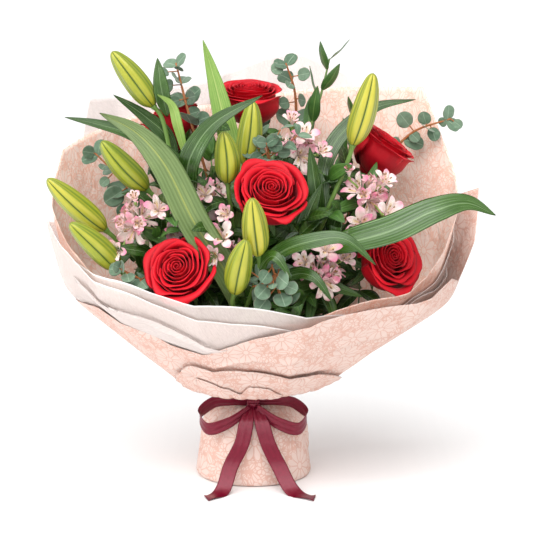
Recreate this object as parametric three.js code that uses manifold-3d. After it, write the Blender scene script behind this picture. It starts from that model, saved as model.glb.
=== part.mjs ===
// Mixed flower bouquet: red roses, lily buds, alstroemeria, eucalyptus and ruscus in a spiral-tied bunch,
// wrapped in two printed and two sheer paper sheets that a satin ribbon gathers round the stems.
// Millimetres, +Z up, the front towards -Y. The origin is where the bunch's axis meets the table.
import * as THREE from 'three';
import { LoftGeometry } from 'three/addons/geometries/LoftGeometry.js';
import { mergeVertices } from 'three/addons/utils/BufferGeometryUtils.js';
import Module from 'manifold-3d';

const wasm = await Module();
wasm.setup();

// ---------------------------------------------------------------- driving dimensions
const TIE_HEIGHT = 91; // the ribbon and the twine, above the table
const STEM_TWIST = 30; // sideways offset of a stem at the tie, for each unit of its slope
const MAX_SLOPE = 0.56; // the steepest splay of a stem where it passes the tie
const GAP = 0.3; // clearance between two pieces that rest on each other
const PAPER = 0.7; // thickness of a paper sheet
const SHEET_STEP = 1.5; // from one sheet to the next where they lie together
const STEM_FOOT = 5.5; // the cut ends' lowest edges, just above the innermost sheet
const SHEET_SIDES = 24; // facets round a sheet, two to each pleat

const BLOOM_HEIGHT = 50;
const BUD_RADIUS = 13;
const RIBBON_WIDTH = 15;
const RIBBON_THICKNESS = 0.8;

const GREEN = 0x2f5d2c;
const LIGHT_GREEN = 0x86a56a;
const LILY_GREEN = 0x3f6b34;
const LIME = 0xa5b62d;
const GREY_GREEN = 0x6f8f79;
const RED = 0xb90d1e;
const PINK = 0xf0c3cd;
const PEACH = 0xf2c9b8;
const SHEER = 0xf3e3df;
const BURGUNDY = 0x7d1230;
const TWINE = 0xb99b6b;

// ---------------------------------------------------------------- layout
// at: the base of the head. aim: the way that it faces, as azimuth (-90 is the front, 0 the right) and
// rise above the horizon, in degrees.
const ROSES = [
  { name: 'rose_centre', at: [15, -84, 306], aim: [-82, 42], radius: 41 },
  { name: 'rose_lower_left', at: [-65, -97, 234], aim: [-108, 30], radius: 39 },
  { name: 'rose_lower_right', at: [123, -61, 242], aim: [-54, 25], radius: 39 },
  { name: 'rose_right', at: [122, 16, 334], aim: [-10, 55], radius: 38 },
  { name: 'rose_top', at: [-5, 44, 382], aim: [-90, 78], radius: 40 },
  { name: 'rose_upper_left', at: [-80, 28, 358], aim: [150, 68], radius: 35 },
];

// A lily stem forks at its node into one pedicel for each bud. buds: [base, tip]. leaves: the spine's
// points, the width, and the way that the upper face looks.
const FRONT = [0, -1, 0.2];
const FRONT_UP = [0, -0.8, 0.6];
const LILIES = [
  {
    name: 'lily_upper_left',
    node: [-74, -38, 262],
    buds: [
      [[-107, -22, 412], [-150, -26, 470]],
      [[-112, -66, 328], [-158, -78, 380]],
    ],
    leaves: [
      {
        spine: [[-72, -34, 240], [-66, -72, 330], [-60, -92, 372], [-36, -92, 408], [16, -78, 436]],
        width: 24,
        face: FRONT,
      },
      {
        spine: [[-74, -32, 300], [-78, -44, 350], [-128, -56, 384], [-164, -62, 396],
          [-198, -66, 404]],
        width: 16,
        face: FRONT_UP,
      },
      {
        spine: [[-78, -26, 318], [-92, -18, 376], [-116, -18, 400], [-150, -22, 424]],
        width: 17,
        face: FRONT,
      },
    ],
  },
  {
    name: 'lily_left',
    node: [-106, -56, 236],
    buds: [
      [[-156, -74, 286], [-214, -90, 342]],
      [[-140, -98, 248], [-188, -120, 300]],
    ],
    leaves: [
      {
        spine: [[-100, -54, 228], [-116, -84, 262], [-132, -100, 270], [-150, -104, 274]],
        width: 18,
        face: FRONT_UP,
      },
      {
        spine: [[-100, -50, 238], [-104, -70, 300], [-120, -74, 322], [-138, -78, 325]],
        width: 13,
        face: FRONT_UP,
      },
    ],
  },
  {
    name: 'lily_centre',
    node: [-18, -56, 270],
    buds: [
      [[-26, -86, 338], [-30, -98, 392]],
      [[-8, -52, 352], [0, -54, 420]],
    ],
    leaves: [
      {
        spine: [[-16, -44, 280], [-20, -22, 350], [-32, -12, 400], [-42, -8, 440], [-54, -6, 482]],
        width: 23,
        face: FRONT,
      },
      { spine: [[-22, -50, 262], [-48, -46, 310], [-62, -52, 340]], width: 20, face: FRONT },
    ],
  },
  {
    name: 'lily_front',
    node: [-12, -112, 196],
    buds: [
      [[6, -148, 272], [0, -180, 334]],
      [[-18, -146, 232], [-6, -180, 292]],
    ],
    leaves: [
      {
        spine: [[-14, -104, 190], [-24, -116, 240], [-60, -118, 300], [-92, -112, 362],
          [-120, -106, 392], [-158, -102, 412]],
        width: 32,
        face: FRONT,
      },
      {
        spine: [[0, -112, 206], [24, -136, 268], [62, -150, 286], [94, -152, 288],
          [126, -156, 262]],
        width: 19,
        face: FRONT_UP,
      },
      {
        spine: [[-4, -116, 200], [6, -140, 252], [22, -160, 272], [40, -166, 250]],
        width: 16,
        face: FRONT_UP,
      },
      {
        spine: [[4, -106, 198], [42, -128, 240], [64, -144, 240], [82, -152, 212]],
        width: 15,
        face: FRONT_UP,
      },
    ],
  },
  {
    name: 'lily_right',
    node: [78, -52, 300],
    buds: [[[106, -54, 374], [126, -66, 450]]],
    leaves: [
      {
        spine: [[66, -52, 250], [92, -112, 276], [142, -124, 292], [188, -116, 312],
          [222, -104, 318], [254, -96, 304]],
        width: 33,
        face: FRONT_UP,
      },
      {
        spine: [[76, -44, 300], [78, -30, 350], [98, -14, 384], [132, -8, 408], [176, -12, 418]],
        width: 19,
        face: FRONT_UP,
      },
      { spine: [[72, -54, 280], [66, -64, 330], [60, -62, 372]], width: 17, face: FRONT },
      { spine: [[66, -54, 252], [54, -84, 290], [72, -84, 336]], width: 20, face: FRONT },
    ],
  },
];

// flowers: open florets in the umbel.
const ALSTROEMERIAS = [
  { name: 'alstroemeria_left', at: [-120, -76, 290], aim: [-110, 30], flowers: 3 },
  { name: 'alstroemeria_centre_left', at: [-44, -48, 306], aim: [-110, 50], flowers: 3 },
  { name: 'alstroemeria_mid_left', at: [-24, -84, 250], aim: [-92, 32], flowers: 3 },
  { name: 'alstroemeria_top', at: [46, -18, 352], aim: [-70, 60], flowers: 3 },
  { name: 'alstroemeria_right', at: [118, -48, 314], aim: [-70, 35], flowers: 3 },
  { name: 'alstroemeria_low_right', at: [70, -94, 236], aim: [-75, 35], flowers: 3 },
];

// path: the leafy stretch's points, from below to the tip. pairs: leaf pairs on it. leaf: radius of the
// largest.
const EUCALYPTUS = [
  {
    name: 'eucalyptus_left',
    path: [[-112, -24, 292], [-140, -22, 330], [-170, -18, 360]],
    pairs: 4, leaf: 13,
  },
  {
    name: 'eucalyptus_upper_left',
    path: [[-64, 2, 380], [-75, 8, 420], [-84, 16, 455]],
    pairs: 4, leaf: 12,
  },
  { name: 'eucalyptus_top', path: [[46, 62, 372], [46, 62, 420], [36, 58, 452]], pairs: 4, leaf: 12 },
  {
    name: 'eucalyptus_right',
    path: [[140, 60, 330], [176, 56, 374], [218, 40, 392]],
    pairs: 4, leaf: 12,
  },
  {
    name: 'eucalyptus_front',
    path: [[30, -116, 214], [26, -136, 236], [20, -150, 262]],
    pairs: 3, leaf: 11,
  },
  {
    name: 'eucalyptus_centre',
    path: [[20, -40, 330], [18, -52, 356], [14, -62, 376]],
    pairs: 3, leaf: 11,
  },
  {
    name: 'eucalyptus_low_left',
    path: [[-98, -98, 222], [-118, -112, 240], [-136, -122, 252]],
    pairs: 3, leaf: 11,
  },
];

const RUSCUS = [
  {
    name: 'ruscus_top',
    path: [[60, 34, 372], [74, 40, 416], [84, 44, 458]],
    leaves: 8, leaf: 52, width: 15,
  },
  {
    name: 'ruscus_right',
    path: [[92, 66, 320], [108, 68, 356], [114, 70, 390]],
    leaves: 7, leaf: 46, width: 14,
  },
];

// rim: where each sheet's edge turns, as azimuth in degrees and distance up the flare. lean: how much
// further out than the innermost the sheet leans, with more on the side of the flap.
const SHEETS = [
  {
    name: 'wrap_printed_outer',
    color: PEACH,
    lean: 2,
    flap: [-22.5, 5],
    rim: [[-172.5, 150], [-157.5, 150], [-142.5, 132], [-127.5, 96], [-112.5, 88], [-97.5, 102],
      [-82.5, 120], [-67.5, 140], [-52.5, 149], [-37.5, 157], [-22.5, 184], [-7.5, 172], [7.5, 290],
      [22.5, 225], [67.5, 240], [97.5, 215], [142.5, 250], [172.5, 170]],
  },
  {
    name: 'wrap_sheer_outer',
    color: SHEER,
    lean: 1.3,
    flap: [-172.5, 0.5],
    rim: [[-172.5, 255], [-157.5, 222], [-142.5, 192], [-112.5, 148], [-97.5, 134], [-67.5, 124],
      [-22.5, 169], [-7.5, 176], [37.5, 260], [97.5, 330], [142.5, 285], [172.5, 235]],
  },
  {
    name: 'wrap_sheer_inner',
    color: SHEER,
    lean: 0.6,
    flap: [0, 0],
    rim: [[-172.5, 212], [-142.5, 196], [-112.5, 165], [-97.5, 158], [-82.5, 151], [-67.5, 144],
      [-52.5, 140], [-22.5, 168], [-7.5, 195], [7.5, 262], [37.5, 335], [52.5, 358], [67.5, 372],
      [82.5, 366], [112.5, 340], [142.5, 335], [157.5, 348], [172.5, 222]],
  },
  {
    name: 'wrap_printed_inner',
    color: PEACH,
    lean: 0,
    flap: [0, 0],
    rim: [[-172.5, 244], [-142.5, 180], [-127.5, 150], [-97.5, 118], [-67.5, 134], [-52.5, 153],
      [-37.5, 167], [-22.5, 188], [-7.5, 243], [7.5, 288], [22.5, 362], [37.5, 345], [52.5, 336],
      [97.5, 310], [142.5, 312], [172.5, 308]],
  },
];

// ---------------------------------------------------------------- vectors, solids and gaps
const rad = THREE.MathUtils.degToRad;
const vec = (p) => new THREE.Vector3(...p);

function direction([azimuth, rise]) {
  const level = Math.cos(rad(rise));
  return new THREE.Vector3(
    level * Math.cos(rad(azimuth)), level * Math.sin(rad(azimuth)), Math.sin(rad(rise)));
}

function solidOf(geometry) {
  const bare = new THREE.BufferGeometry().setAttribute('position', geometry.getAttribute('position'));
  bare.setIndex(geometry.index);
  const merged = mergeVertices(bare, 1e-3);
  const kept = [];
  const index = merged.index.array;
  for (let i = 0; i < index.length; i += 3) {
    const [a, b, c] = [index[i], index[i + 1], index[i + 2]];
    if (a !== b && b !== c && a !== c) kept.push(a, b, c);
  }
  const make = (corners) => new wasm.Manifold(new wasm.Mesh({
    numProp: 3,
    vertProperties: merged.attributes.position.array,
    triVerts: new Uint32Array(corners),
  }));
  const made = make(kept);
  if (made.volume() > 0) return made;
  return make(kept.reverse());
}

function geometryOf(solid) {
  const mesh = solid.getMesh();
  const geometry = new THREE.BufferGeometry();
  geometry.setAttribute('position', new THREE.BufferAttribute(new Float32Array(mesh.vertProperties), 3));
  geometry.setIndex(new THREE.BufferAttribute(new Uint32Array(mesh.triVerts), 1));
  geometry.computeVertexNormals();
  return geometry;
}

const largest = (solid) => solid.decompose().reduce((a, b) => (b.volume() > a.volume() ? b : a));

function boxesMeet(a, b) {
  const p = a.boundingBox();
  const q = b.boundingBox();
  return [0, 1, 2].every((k) => p.min[k] < q.max[k] && q.min[k] < p.max[k]);
}

const crosses = (a, b) => boxesMeet(a, b) && a.intersect(b).volume() > 1e-4;

// Small turns about a leaf's root, the smallest first.
const TURNS = [0, 7, -7, 14, -14, 22, -22, 32, -32, 45, -45]
  .flatMap((a, _, all) => all.map((b) => [a, b]))
  .sort((p, q) => Math.abs(p[0]) + Math.abs(p[1]) - Math.abs(q[0]) - Math.abs(q[1]));

// A leaf bent about its root by as little as clears its neighbours. Where no bend does, there is no leaf.
function bentClear({ solid, root, way, face }, neighbours) {
  const across = way.clone().cross(face).normalize();
  for (const [turn, tilt] of TURNS) {
    const bend = new THREE.Quaternion().setFromAxisAngle(face, rad(turn))
      .multiply(new THREE.Quaternion().setFromAxisAngle(across, rad(tilt)));
    const move = new THREE.Matrix4().makeRotationFromQuaternion(bend)
      .setPosition(root.clone().sub(root.clone().applyQuaternion(bend)));
    const bent = solid.transform(move.toArray());
    if (!neighbours.some((other) => crosses(bent, other))) return bent;
  }
  return null;
}

// ---------------------------------------------------------------- stems
// The stems are straight where the twine holds them: each passes the tie beside the axis, at right angles
// to the way that it leans, so no two meet. They jostle until each has room.
const stems = [];

function addStem(name, head, radius) {
  const rise = head.z - TIE_HEIGHT;
  const size = rise ** 2 + STEM_TWIST ** 2;
  const slope = new THREE.Vector2(
    rise * head.x + STEM_TWIST * head.y, rise * head.y - STEM_TWIST * head.x);
  slope.divideScalar(size).clampLength(0, MAX_SLOPE);
  stems.push({ name, slope, radius });
}

function jostle() {
  for (let round = 0; round < 400; round++) {
    for (const a of stems) {
      for (const b of stems) {
        if (a === b) continue;
        const apart = a.slope.clone().sub(b.slope);
        const wanted = (a.radius + b.radius + 1.2) / STEM_TWIST;
        if (apart.length() >= wanted) continue;
        apart.setLength((wanted - apart.length()) / 2);
        a.slope.add(apart).clampLength(0, MAX_SLOPE);
        b.slope.sub(apart).clampLength(0, MAX_SLOPE);
      }
    }
  }
}

function stemAt(slope, z) {
  const rise = z - TIE_HEIGHT;
  return new THREE.Vector3(
    rise * slope.x - STEM_TWIST * slope.y, rise * slope.y + STEM_TWIST * slope.x, z);
}

// From the table through the tie to the points given, which end at the head.
function stemCurve(name, points) {
  const { slope, radius } = stems.find((stem) => stem.name === name);
  const foot = STEM_FOOT + radius * Math.sin(Math.atan(slope.length()));
  const first = points[0];
  const bend = TIE_HEIGHT + 0.3 * (first.z - TIE_HEIGHT);
  return new THREE.CatmullRomCurve3(
    [stemAt(slope, foot), stemAt(slope, TIE_HEIGHT), stemAt(slope, bend), ...points]);
}

function rod(curve, radius, steps, sides = 5) {
  const shape = new THREE.Shape();
  for (let i = 0; i < sides; i++) {
    const angle = (i / sides) * 2 * Math.PI;
    const [x, y] = [radius * Math.cos(angle), radius * Math.sin(angle)];
    if (i) shape.lineTo(x, y);
    else shape.moveTo(x, y);
  }
  return solidOf(new THREE.ExtrudeGeometry(shape, { steps, extrudePath: curve, bevelEnabled: false }));
}

const line = (...points) => new THREE.CatmullRomCurve3(points);

// ---------------------------------------------------------------- blades
// A closed skin over a grid of points, thick inside and sharp all round, with the same triangles on both
// faces.
function skin(point, columns, rows, thickness) {
  const across = Array.from({ length: columns + 1 }, (_, i) => (2 * i) / columns - 1);
  const positions = [];
  const index = [];
  for (const face of [0.5, -0.5]) {
    const first = positions.length / 3;
    rows.forEach((v, j) => across.forEach((u, i) => {
      const p = point(u, v);
      if (i && j && i < columns && j < rows.length - 1) {
        const across = point(u + 0.05, v).sub(p);
        p.addScaledVector(across.cross(point(u, v + 0.02).sub(p)).normalize(), face * thickness);
      }
      positions.push(p.x, p.y, p.z);
    }));
    for (let j = 0; j < rows.length - 1; j++) {
      for (let i = 0; i < columns; i++) {
        const a = first + j * (columns + 1) + i;
        const [b, c, d] = [a + 1, a + columns + 2, a + columns + 1];
        index.push(...(face > 0 ? [a, b, c, a, c, d] : [a, c, b, a, d, c]));
      }
    }
  }
  return solidOf(meshOf(positions, index));
}

function meshOf(positions, index) {
  const geometry = new THREE.BufferGeometry();
  geometry.setAttribute('position', new THREE.Float32BufferAttribute(positions, 3));
  geometry.setIndex(index);
  return geometry;
}

// A leaf blade along a spine, thick on the midrib and sharp at both edges, which lift by the cup.
function blade(spine, { width, face, stations, outline, thickness = 1.4, cup = 0.2 }) {
  const point = (u, v) => {
    const t = Math.min(v, 1);
    const along = spine.getTangent(t);
    const side = along.clone().cross(face).normalize();
    const up = side.clone().cross(along);
    const half = (width / 2) * outline(t);
    return spine.getPoint(t).addScaledVector(side, half * u)
      .addScaledVector(up, cup * half * Math.abs(u));
  };
  return skin(point, 2, [0, ...stations, 1], thickness);
}

// A blade that may still bend about its root.
function leaf(spine, options) {
  const root = spine.getPoint(0);
  const way = spine.getPoint(1).sub(root).normalize();
  return { solid: blade(spine, options), root, way, face: options.face };
}

const lance = (t) => (t <= 0 || t >= 1 ? 0 : Math.sin(Math.PI * t ** 0.8) ** 0.8);
const round = (t) => (t <= 0 || t >= 1 ? 0 : Math.sqrt(1 - (2 * t - 1) ** 2));

// ---------------------------------------------------------------- roses
// Petal rings of a bloom, from the heart out. foot and radius: of the ring at its root and rim, as shares
// of the bloom's. rim: its height, as a share of the bloom's. span: degrees either side. curl: how far it
// rolls out.
const PETAL_RINGS = [
  { petals: 2, foot: 0.12, radius: 0.24, rim: 0.97, span: 100, curl: 4, rows: [0, 0.6, 1], turn: 0 },
  { petals: 3, foot: 0.22, radius: 0.5, rim: 0.97, span: 76, curl: 8, rows: [0, 0.5, 0.84, 1], turn: 50 },
  { petals: 5, foot: 0.3, radius: 0.78, rim: 0.82, span: 48, curl: 9, rows: [0, 0.42, 0.8, 1], turn: 10 },
];
const SPIRAL = 1.3; // one side of a petal lies this far outside its ring, the other as far inside

function petalPoint(ring, bloom, angle, u, v) {
  const along = v * (1 - 0.1 * u * u);
  const belly = Math.sin(Math.min(1, along * 1.3) * (Math.PI / 2)) ** 0.9;
  const roll = Math.max(0, along - 0.65) / 0.35;
  const reach = ring.foot + (ring.radius - ring.foot) * belly;
  const radius = reach * bloom + SPIRAL * u + ring.curl * roll ** 2;
  const height = BLOOM_HEIGHT * (0.1 + (ring.rim - 0.1) * along ** 1.1) - 0.4 * ring.curl * roll ** 3;
  const turn = rad(angle + ring.span * u * (0.3 + 0.7 * belly));
  return new THREE.Vector3(radius * Math.cos(turn), radius * Math.sin(turn), height);
}

// A direction square to an axis, turned round it.
function sideOf(axis, turn) {
  const first = new THREE.Vector3(0, 0, 1).cross(axis);
  if (first.length() < 0.1) first.set(1, 0, 0);
  return first.normalize().applyAxisAngle(axis, rad(turn));
}

function placed(solid, at, aim) {
  const turn = new THREE.Quaternion().setFromUnitVectors(new THREE.Vector3(0, 0, 1), aim);
  return solid.transform(new THREE.Matrix4().compose(at, turn, new THREE.Vector3(1, 1, 1)).toArray());
}

// The cup that the petals' roots are sunk in, with the furled heart on it.
function roseHeart(bloom) {
  const profile = [
    [0, 0], [0.17, 0], [0.4, 0.12], [0.5, 0.26], [0.38, 0.45], [0.2, 0.7], [0.13, 0.9], [0, 0.95]];
  const points = profile.map(([r, z]) => new THREE.Vector2(r * bloom, z * BLOOM_HEIGHT));
  return solidOf(new THREE.LatheGeometry(points, 6).rotateX(Math.PI / 2));
}

function roseBloom({ at, aim, radius }) {
  const petals = PETAL_RINGS.flatMap((ring) => Array.from({ length: ring.petals }, (_, i) => (
    skin((u, v) => petalPoint(ring, radius, ring.turn + (i * 360) / ring.petals, u, v),
      3, ring.rows, 1.2))));
  const bloom = wasm.Manifold.union([roseHeart(radius), ...petals]);
  return placed(bloom, vec(at), direction(aim));
}

const CALYX = 6; // height of the hip under a bloom

function roseStem({ name, at, aim }) {
  const facing = direction(aim);
  const top = vec(at).addScaledVector(facing, -GAP);
  const hip = top.clone().addScaledVector(facing, -CALYX);
  const neck = hip.clone().addScaledVector(facing, -22);
  const curve = stemCurve(name, [neck, hip]);
  const core = [rod(curve, 2.8, 6), rod(line(hip.clone().addScaledVector(facing, -1), top), 5.2, 1, 6)];
  const leaves = [];
  for (let i = 0; i < 5; i++) {
    const out = sideOf(facing, i * 72);
    const root = hip.clone().addScaledVector(facing, 2);
    const mid = root.clone().addScaledVector(out, 12).addScaledVector(facing, -2);
    const tip = root.clone().addScaledVector(out, 24).addScaledVector(facing, -8);
    leaves.push(leaf(line(root, mid, tip), { width: 8, face: facing, stations: [0.45], outline: lance }));
  }
  for (const [share, turn] of [[0.78, 60], [0.62, 240]]) leaves.push(roseLeaf(curve, share, turn));
  return { core, leaves };
}

// Three leaflets on a short stalk, the side ones further back.
function roseLeaf(curve, share, turn) {
  const root = curve.getPoint(share);
  const along = curve.getTangent(share);
  const way = sideOf(along, turn).multiplyScalar(0.8).addScaledVector(along, 0.6).normalize();
  const face = along.clone().cross(way).cross(way).negate()
    .add(new THREE.Vector3(0, -0.5, 0.5)).normalize();
  const end = root.clone().addScaledVector(way, 24);
  const parts = [rod(line(root, end), 1.1, 1, 4)];
  for (const [reach, spread, length] of [[22, 0, 34], [12, 58, 27], [12, -58, 27]]) {
    const start = root.clone().addScaledVector(way, reach);
    const ray = way.clone().applyAxisAngle(face, rad(spread));
    const tip = start.clone().addScaledVector(ray, length);
    parts.push(blade(line(start, start.clone().lerp(tip, 0.5).addScaledVector(face, 2), tip),
      { width: 18, face, stations: [0.3, 0.68], outline: lance }));
  }
  return { solid: wasm.Manifold.union(parts), root, way, face };
}

// ---------------------------------------------------------------- lilies
function lilyBud([base, tip]) {
  const start = vec(base);
  const aim = vec(tip).sub(start);
  const length = aim.length();
  const sections = [[0, 0.34], [0.1, 0.74], [0.32, 1], [0.6, 0.94], [0.86, 0.56], [1, 0.14]];
  const rings = sections.map(([share, wide]) => Array.from({ length: 12 }, (_, i) => {
    const ridge = i % 2 ? 0.86 : 1;
    const angle = (i / 12) * 2 * Math.PI;
    const radius = BUD_RADIUS * wide * ridge;
    return new THREE.Vector3(radius * Math.cos(angle), radius * Math.sin(angle), share * length);
  }));
  const bud = solidOf(new LoftGeometry(rings, { capStart: true, capEnd: true }));
  return placed(bud, start, aim.normalize());
}

function lilyStem({ name, node, buds, leaves }) {
  const fork = vec(node);
  const trunk = stemCurve(name, [fork]);
  const pedicels = buds.map(([base, tip]) => {
    const aim = vec(tip).sub(vec(base)).normalize();
    const end = vec(base).addScaledVector(aim, -GAP);
    const start = fork.clone().addScaledVector(trunk.getTangent(1), -3);
    return line(start, end.clone().addScaledVector(aim, -14), end);
  });
  const stalks = [trunk, ...pedicels];
  return {
    core: [rod(trunk, 3.6, 5, 6), ...pedicels.map((pedicel) => rod(pedicel, 2.6, 4))],
    leaves: leaves.map((blade) => lilyLeaf(blade, stalks)),
  };
}

// The leaf's root is the nearest point on a stalk to where its spine starts.
function lilyLeaf({ spine, width, face }, stalks) {
  const points = spine.map(vec);
  const near = stalks.flatMap((stalk) => stalk.getPoints(60))
    .reduce((a, b) => (b.distanceTo(points[0]) < a.distanceTo(points[0]) ? b : a));
  return leaf(line(near, ...points.slice(1)),
    {
      width,
      face: vec(face).normalize(),
      stations: [0.14, 0.38, 0.62, 0.85],
      outline: lance,
      cup: 0.25,
    });
}

// ---------------------------------------------------------------- alstroemeria
const UMBEL = 8; // radius of the core that the florets stand out of
const UMBEL_SEAT = 6.8; // from its middle to the edge that rests on the stem
const FLORET = 19; // radius of an open floret
// Rings of a floret's funnel, root to rim and back down the inside: [radius, height] at the tepals'
// middles and between them, as shares of the floret's radius.
const FUNNEL = [
  { tepal: [0, -0.1], cleft: [0, -0.1] },
  { tepal: [0.15, 0.16], cleft: [0.13, 0.16] },
  { tepal: [1, 0.9], cleft: [0.62, 0.66] },
  { tepal: [0.62, 0.7], cleft: [0.46, 0.6] },
  { tepal: [0, 0.24], cleft: [0, 0.24] },
];

// An open floret of six tepals as one shell, every other tepal a little shorter.
function floret(root, aim, turn) {
  const rings = FUNNEL.map(({ tepal, cleft }) => Array.from({ length: 12 }, (_, i) => {
    const [r, z] = i % 2 ? cleft : tepal;
    const size = FLORET * (i % 4 ? 1 : 0.9);
    const angle = rad(turn + i * 30);
    return new THREE.Vector3(r * size * Math.cos(angle), r * size * Math.sin(angle), z * FLORET);
  }));
  return placed(solidOf(new LoftGeometry(rings)), root, aim);
}

function closedFloret(root, aim) {
  const rings = [[0, 0], [1.6, 3], [4.6, 14], [3.4, 21], [0, 26]].map(([r, z]) => (
    Array.from({ length: 6 }, (_, i) => new THREE.Vector3(
      r * Math.cos((i * Math.PI) / 3), r * Math.sin((i * Math.PI) / 3), z))));
  return placed(solidOf(new LoftGeometry(rings)), root, aim);
}

// Florets lean out all round an umbel, with one still closed between them.
function alstroemeriaHead({ at, aim, flowers, turn = 0 }) {
  const facing = direction(aim);
  const centre = vec(at).addScaledVector(facing, UMBEL_SEAT);
  const parts = [placed(solidOf(new THREE.IcosahedronGeometry(UMBEL, 0)), centre, facing)];
  for (let i = 0; i < flowers; i++) {
    const way = facing.clone().applyAxisAngle(sideOf(facing, turn + (i * 360) / flowers), rad(58));
    parts.push(floret(centre.clone().addScaledVector(way, 4), way, i * 25));
  }
  parts.push(closedFloret(centre.clone().addScaledVector(facing, 4), facing));
  return wasm.Manifold.union(parts);
}

function alstroemeriaStem({ name, at, aim }) {
  const facing = direction(aim);
  const end = vec(at).addScaledVector(facing, -GAP);
  const curve = stemCurve(name, [end.clone().addScaledVector(facing, -20), end]);
  const leaves = [0, 1, 2, 3, 4, 5].map((i) => {
    const side = sideOf(facing, 60 + i * 137.5);
    const root = curve.getPoint(0.96 - 0.055 * i);
    const mid = root.clone().addScaledVector(side, 20).addScaledVector(facing, 6);
    const tip = root.clone().addScaledVector(side, 50).addScaledVector(facing, 6);
    return leaf(line(root, mid, tip), { width: 14, face: facing, stations: [0.32, 0.7], outline: lance });
  });
  return { core: [rod(curve, 2.4, 6)], leaves };
}

// ---------------------------------------------------------------- eucalyptus and ruscus
function eucalyptus({ name, path, pairs, leaf: size }) {
  const points = path.map(vec);
  const sprig = line(...points);
  const curve = stemCurve(name, points);
  const leaves = [];
  for (let i = 0; i < pairs; i++) {
    const share = 0.12 + (0.84 * i) / Math.max(1, pairs - 1);
    const along = sprig.getTangent(share);
    const root = sprig.getPoint(share);
    const long = size * (1 - 0.5 * (i / pairs));
    for (const side of [0, 180]) {
      const out = sideOf(along, side + (i % 2 ? 100 : 20)).addScaledVector(along, 0.5).normalize();
      const face = along.clone().multiplyScalar(0.7).add(new THREE.Vector3(0, -1, 0.2)).normalize();
      leaves.push(leaf(line(root, root.clone().addScaledVector(out, 2 * long + 2)),
        { width: 2 * long, face, stations: [0.26, 0.74], outline: round, cup: 0.12 }));
    }
  }
  return { core: [rod(curve, 1.5, 6, 4)], leaves };
}

function ruscus({ name, path, leaves: count, leaf: size, width }) {
  const points = path.map(vec);
  const sprig = line(...points);
  const curve = stemCurve(name, points);
  const leaves = Array.from({ length: count }, (_, i) => {
    const share = 0.05 + (0.93 * i) / (count - 1);
    const along = sprig.getTangent(share);
    const root = sprig.getPoint(share);
    const out = sideOf(along, i * 137.5);
    const long = size * (1 - 0.35 * share);
    const mid = root.clone().addScaledVector(out, long * 0.28).addScaledVector(along, long * 0.35);
    const tip = root.clone().addScaledVector(out, long * 0.5).addScaledVector(along, long * 0.8);
    return leaf(line(root, mid, tip),
      { width, face: along.clone().sub(out).normalize(), stations: [0.3, 0.68], outline: lance });
  });
  return { core: [rod(curve, 1.6, 6, 4)], leaves };
}

// ---------------------------------------------------------------- paper
const FOOT = [[0, 0], [65, 0], [58, 71]]; // from under the stems up the skirt
const NECK = [[34, 84], [34, 98]]; // where the ribbon draws it in
const FOLD = [73, 104]; // where the flare opens out
const PLEATS = [0, 0.8, 3, 3, 3, 3.5]; // depth at each station, foot to fold
const PLEAT_FADE = 0.005; // what that depth loses for each millimetre up the flare
const FLARE_BENDS = [80, 170]; // distances up the flare where it turns up
// How far the flare opens from upright up to each bend and past them, in degrees.
const OPENING = { front: [42, 38, 30], left: [49, 49, 11], right: [52, 52, 14], back: [22, 10, 4] };

// How far up the flare a sheet's edge lies at an azimuth.
function rimAt(rim, azimuth) {
  const after = (a) => (((a - azimuth) % 360) + 360) % 360;
  const [a1, s1] = rim.reduce((p, q) => (after(q[0]) < after(p[0]) ? q : p));
  const [a0, s0] = rim.reduce((p, q) => (after(q[0]) > after(p[0]) ? q : p));
  const whole = 360 - after(a0) + after(a1);
  return s1 + ((s0 - s1) * after(a1)) / whole;
}

// The flare's section at an azimuth: it opens wide, then turns up at each bend.
function flarePoint(azimuth, distance, { lean, flap }) {
  const end = Math.sin(rad(azimuth)) > 0 ? OPENING.back : OPENING.front;
  const side = Math.cos(rad(azimuth)) > 0 ? OPENING.right : OPENING.left;
  const share = Math.abs(Math.sin(rad(azimuth)));
  const further = flap[1] * Math.max(0, Math.cos(rad(azimuth - flap[0]))) ** 2;
  let [r, z] = FOLD;
  [0, ...FLARE_BENDS].forEach((start, i) => {
    const length = Math.max(0, Math.min(distance, FLARE_BENDS[i] || Infinity) - start);
    const angle = rad(side[i] + (end[i] - side[i]) * share + lean + further);
    r += length * Math.sin(angle);
    z += length * Math.cos(angle);
  });
  return [r, z];
}

// The profile moved square to itself, so that its layers keep their distance.
function inset(profile, by) {
  return profile.map(([r, z], i) => {
    const apart = ([x, y]) => Math.hypot(x - r, y - z) > 1e-6;
    const before = profile.slice(0, i).findLast(apart);
    const after = profile.slice(i).find(apart);
    const [ax, az] = unit(before || [r, z], before ? [r, z] : after);
    const [bx, bz] = after ? unit([r, z], after) : [ax, az];
    const miter = by / (1 + ax * bx + az * bz);
    return [i ? r - (az + bz) * miter : 0, z + (ax + bx) * miter];
  });
}

function unit([x0, y0], [x1, y1]) {
  const size = Math.hypot(x1 - x0, y1 - y0);
  return [(x1 - x0) / size, (y1 - y0) / size];
}

function sheetSection(azimuth, sheet, depth, pleat) {
  const edge = rimAt(sheet.rim, azimuth);
  const bends = [...FLARE_BENDS.map((bend) => Math.min(bend, edge)), edge];
  const flare = bends.map((distance) => flarePoint(azimuth, distance, sheet));
  const profile = [...FOOT, ...NECK, FOLD, ...flare];
  const pleats = [...PLEATS, ...bends.map((distance) => PLEATS.at(-1) - PLEAT_FADE * distance)];
  return inset(profile, depth).map(([r, z], i) => [r + pleat * pleats[i], z]);
}

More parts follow.
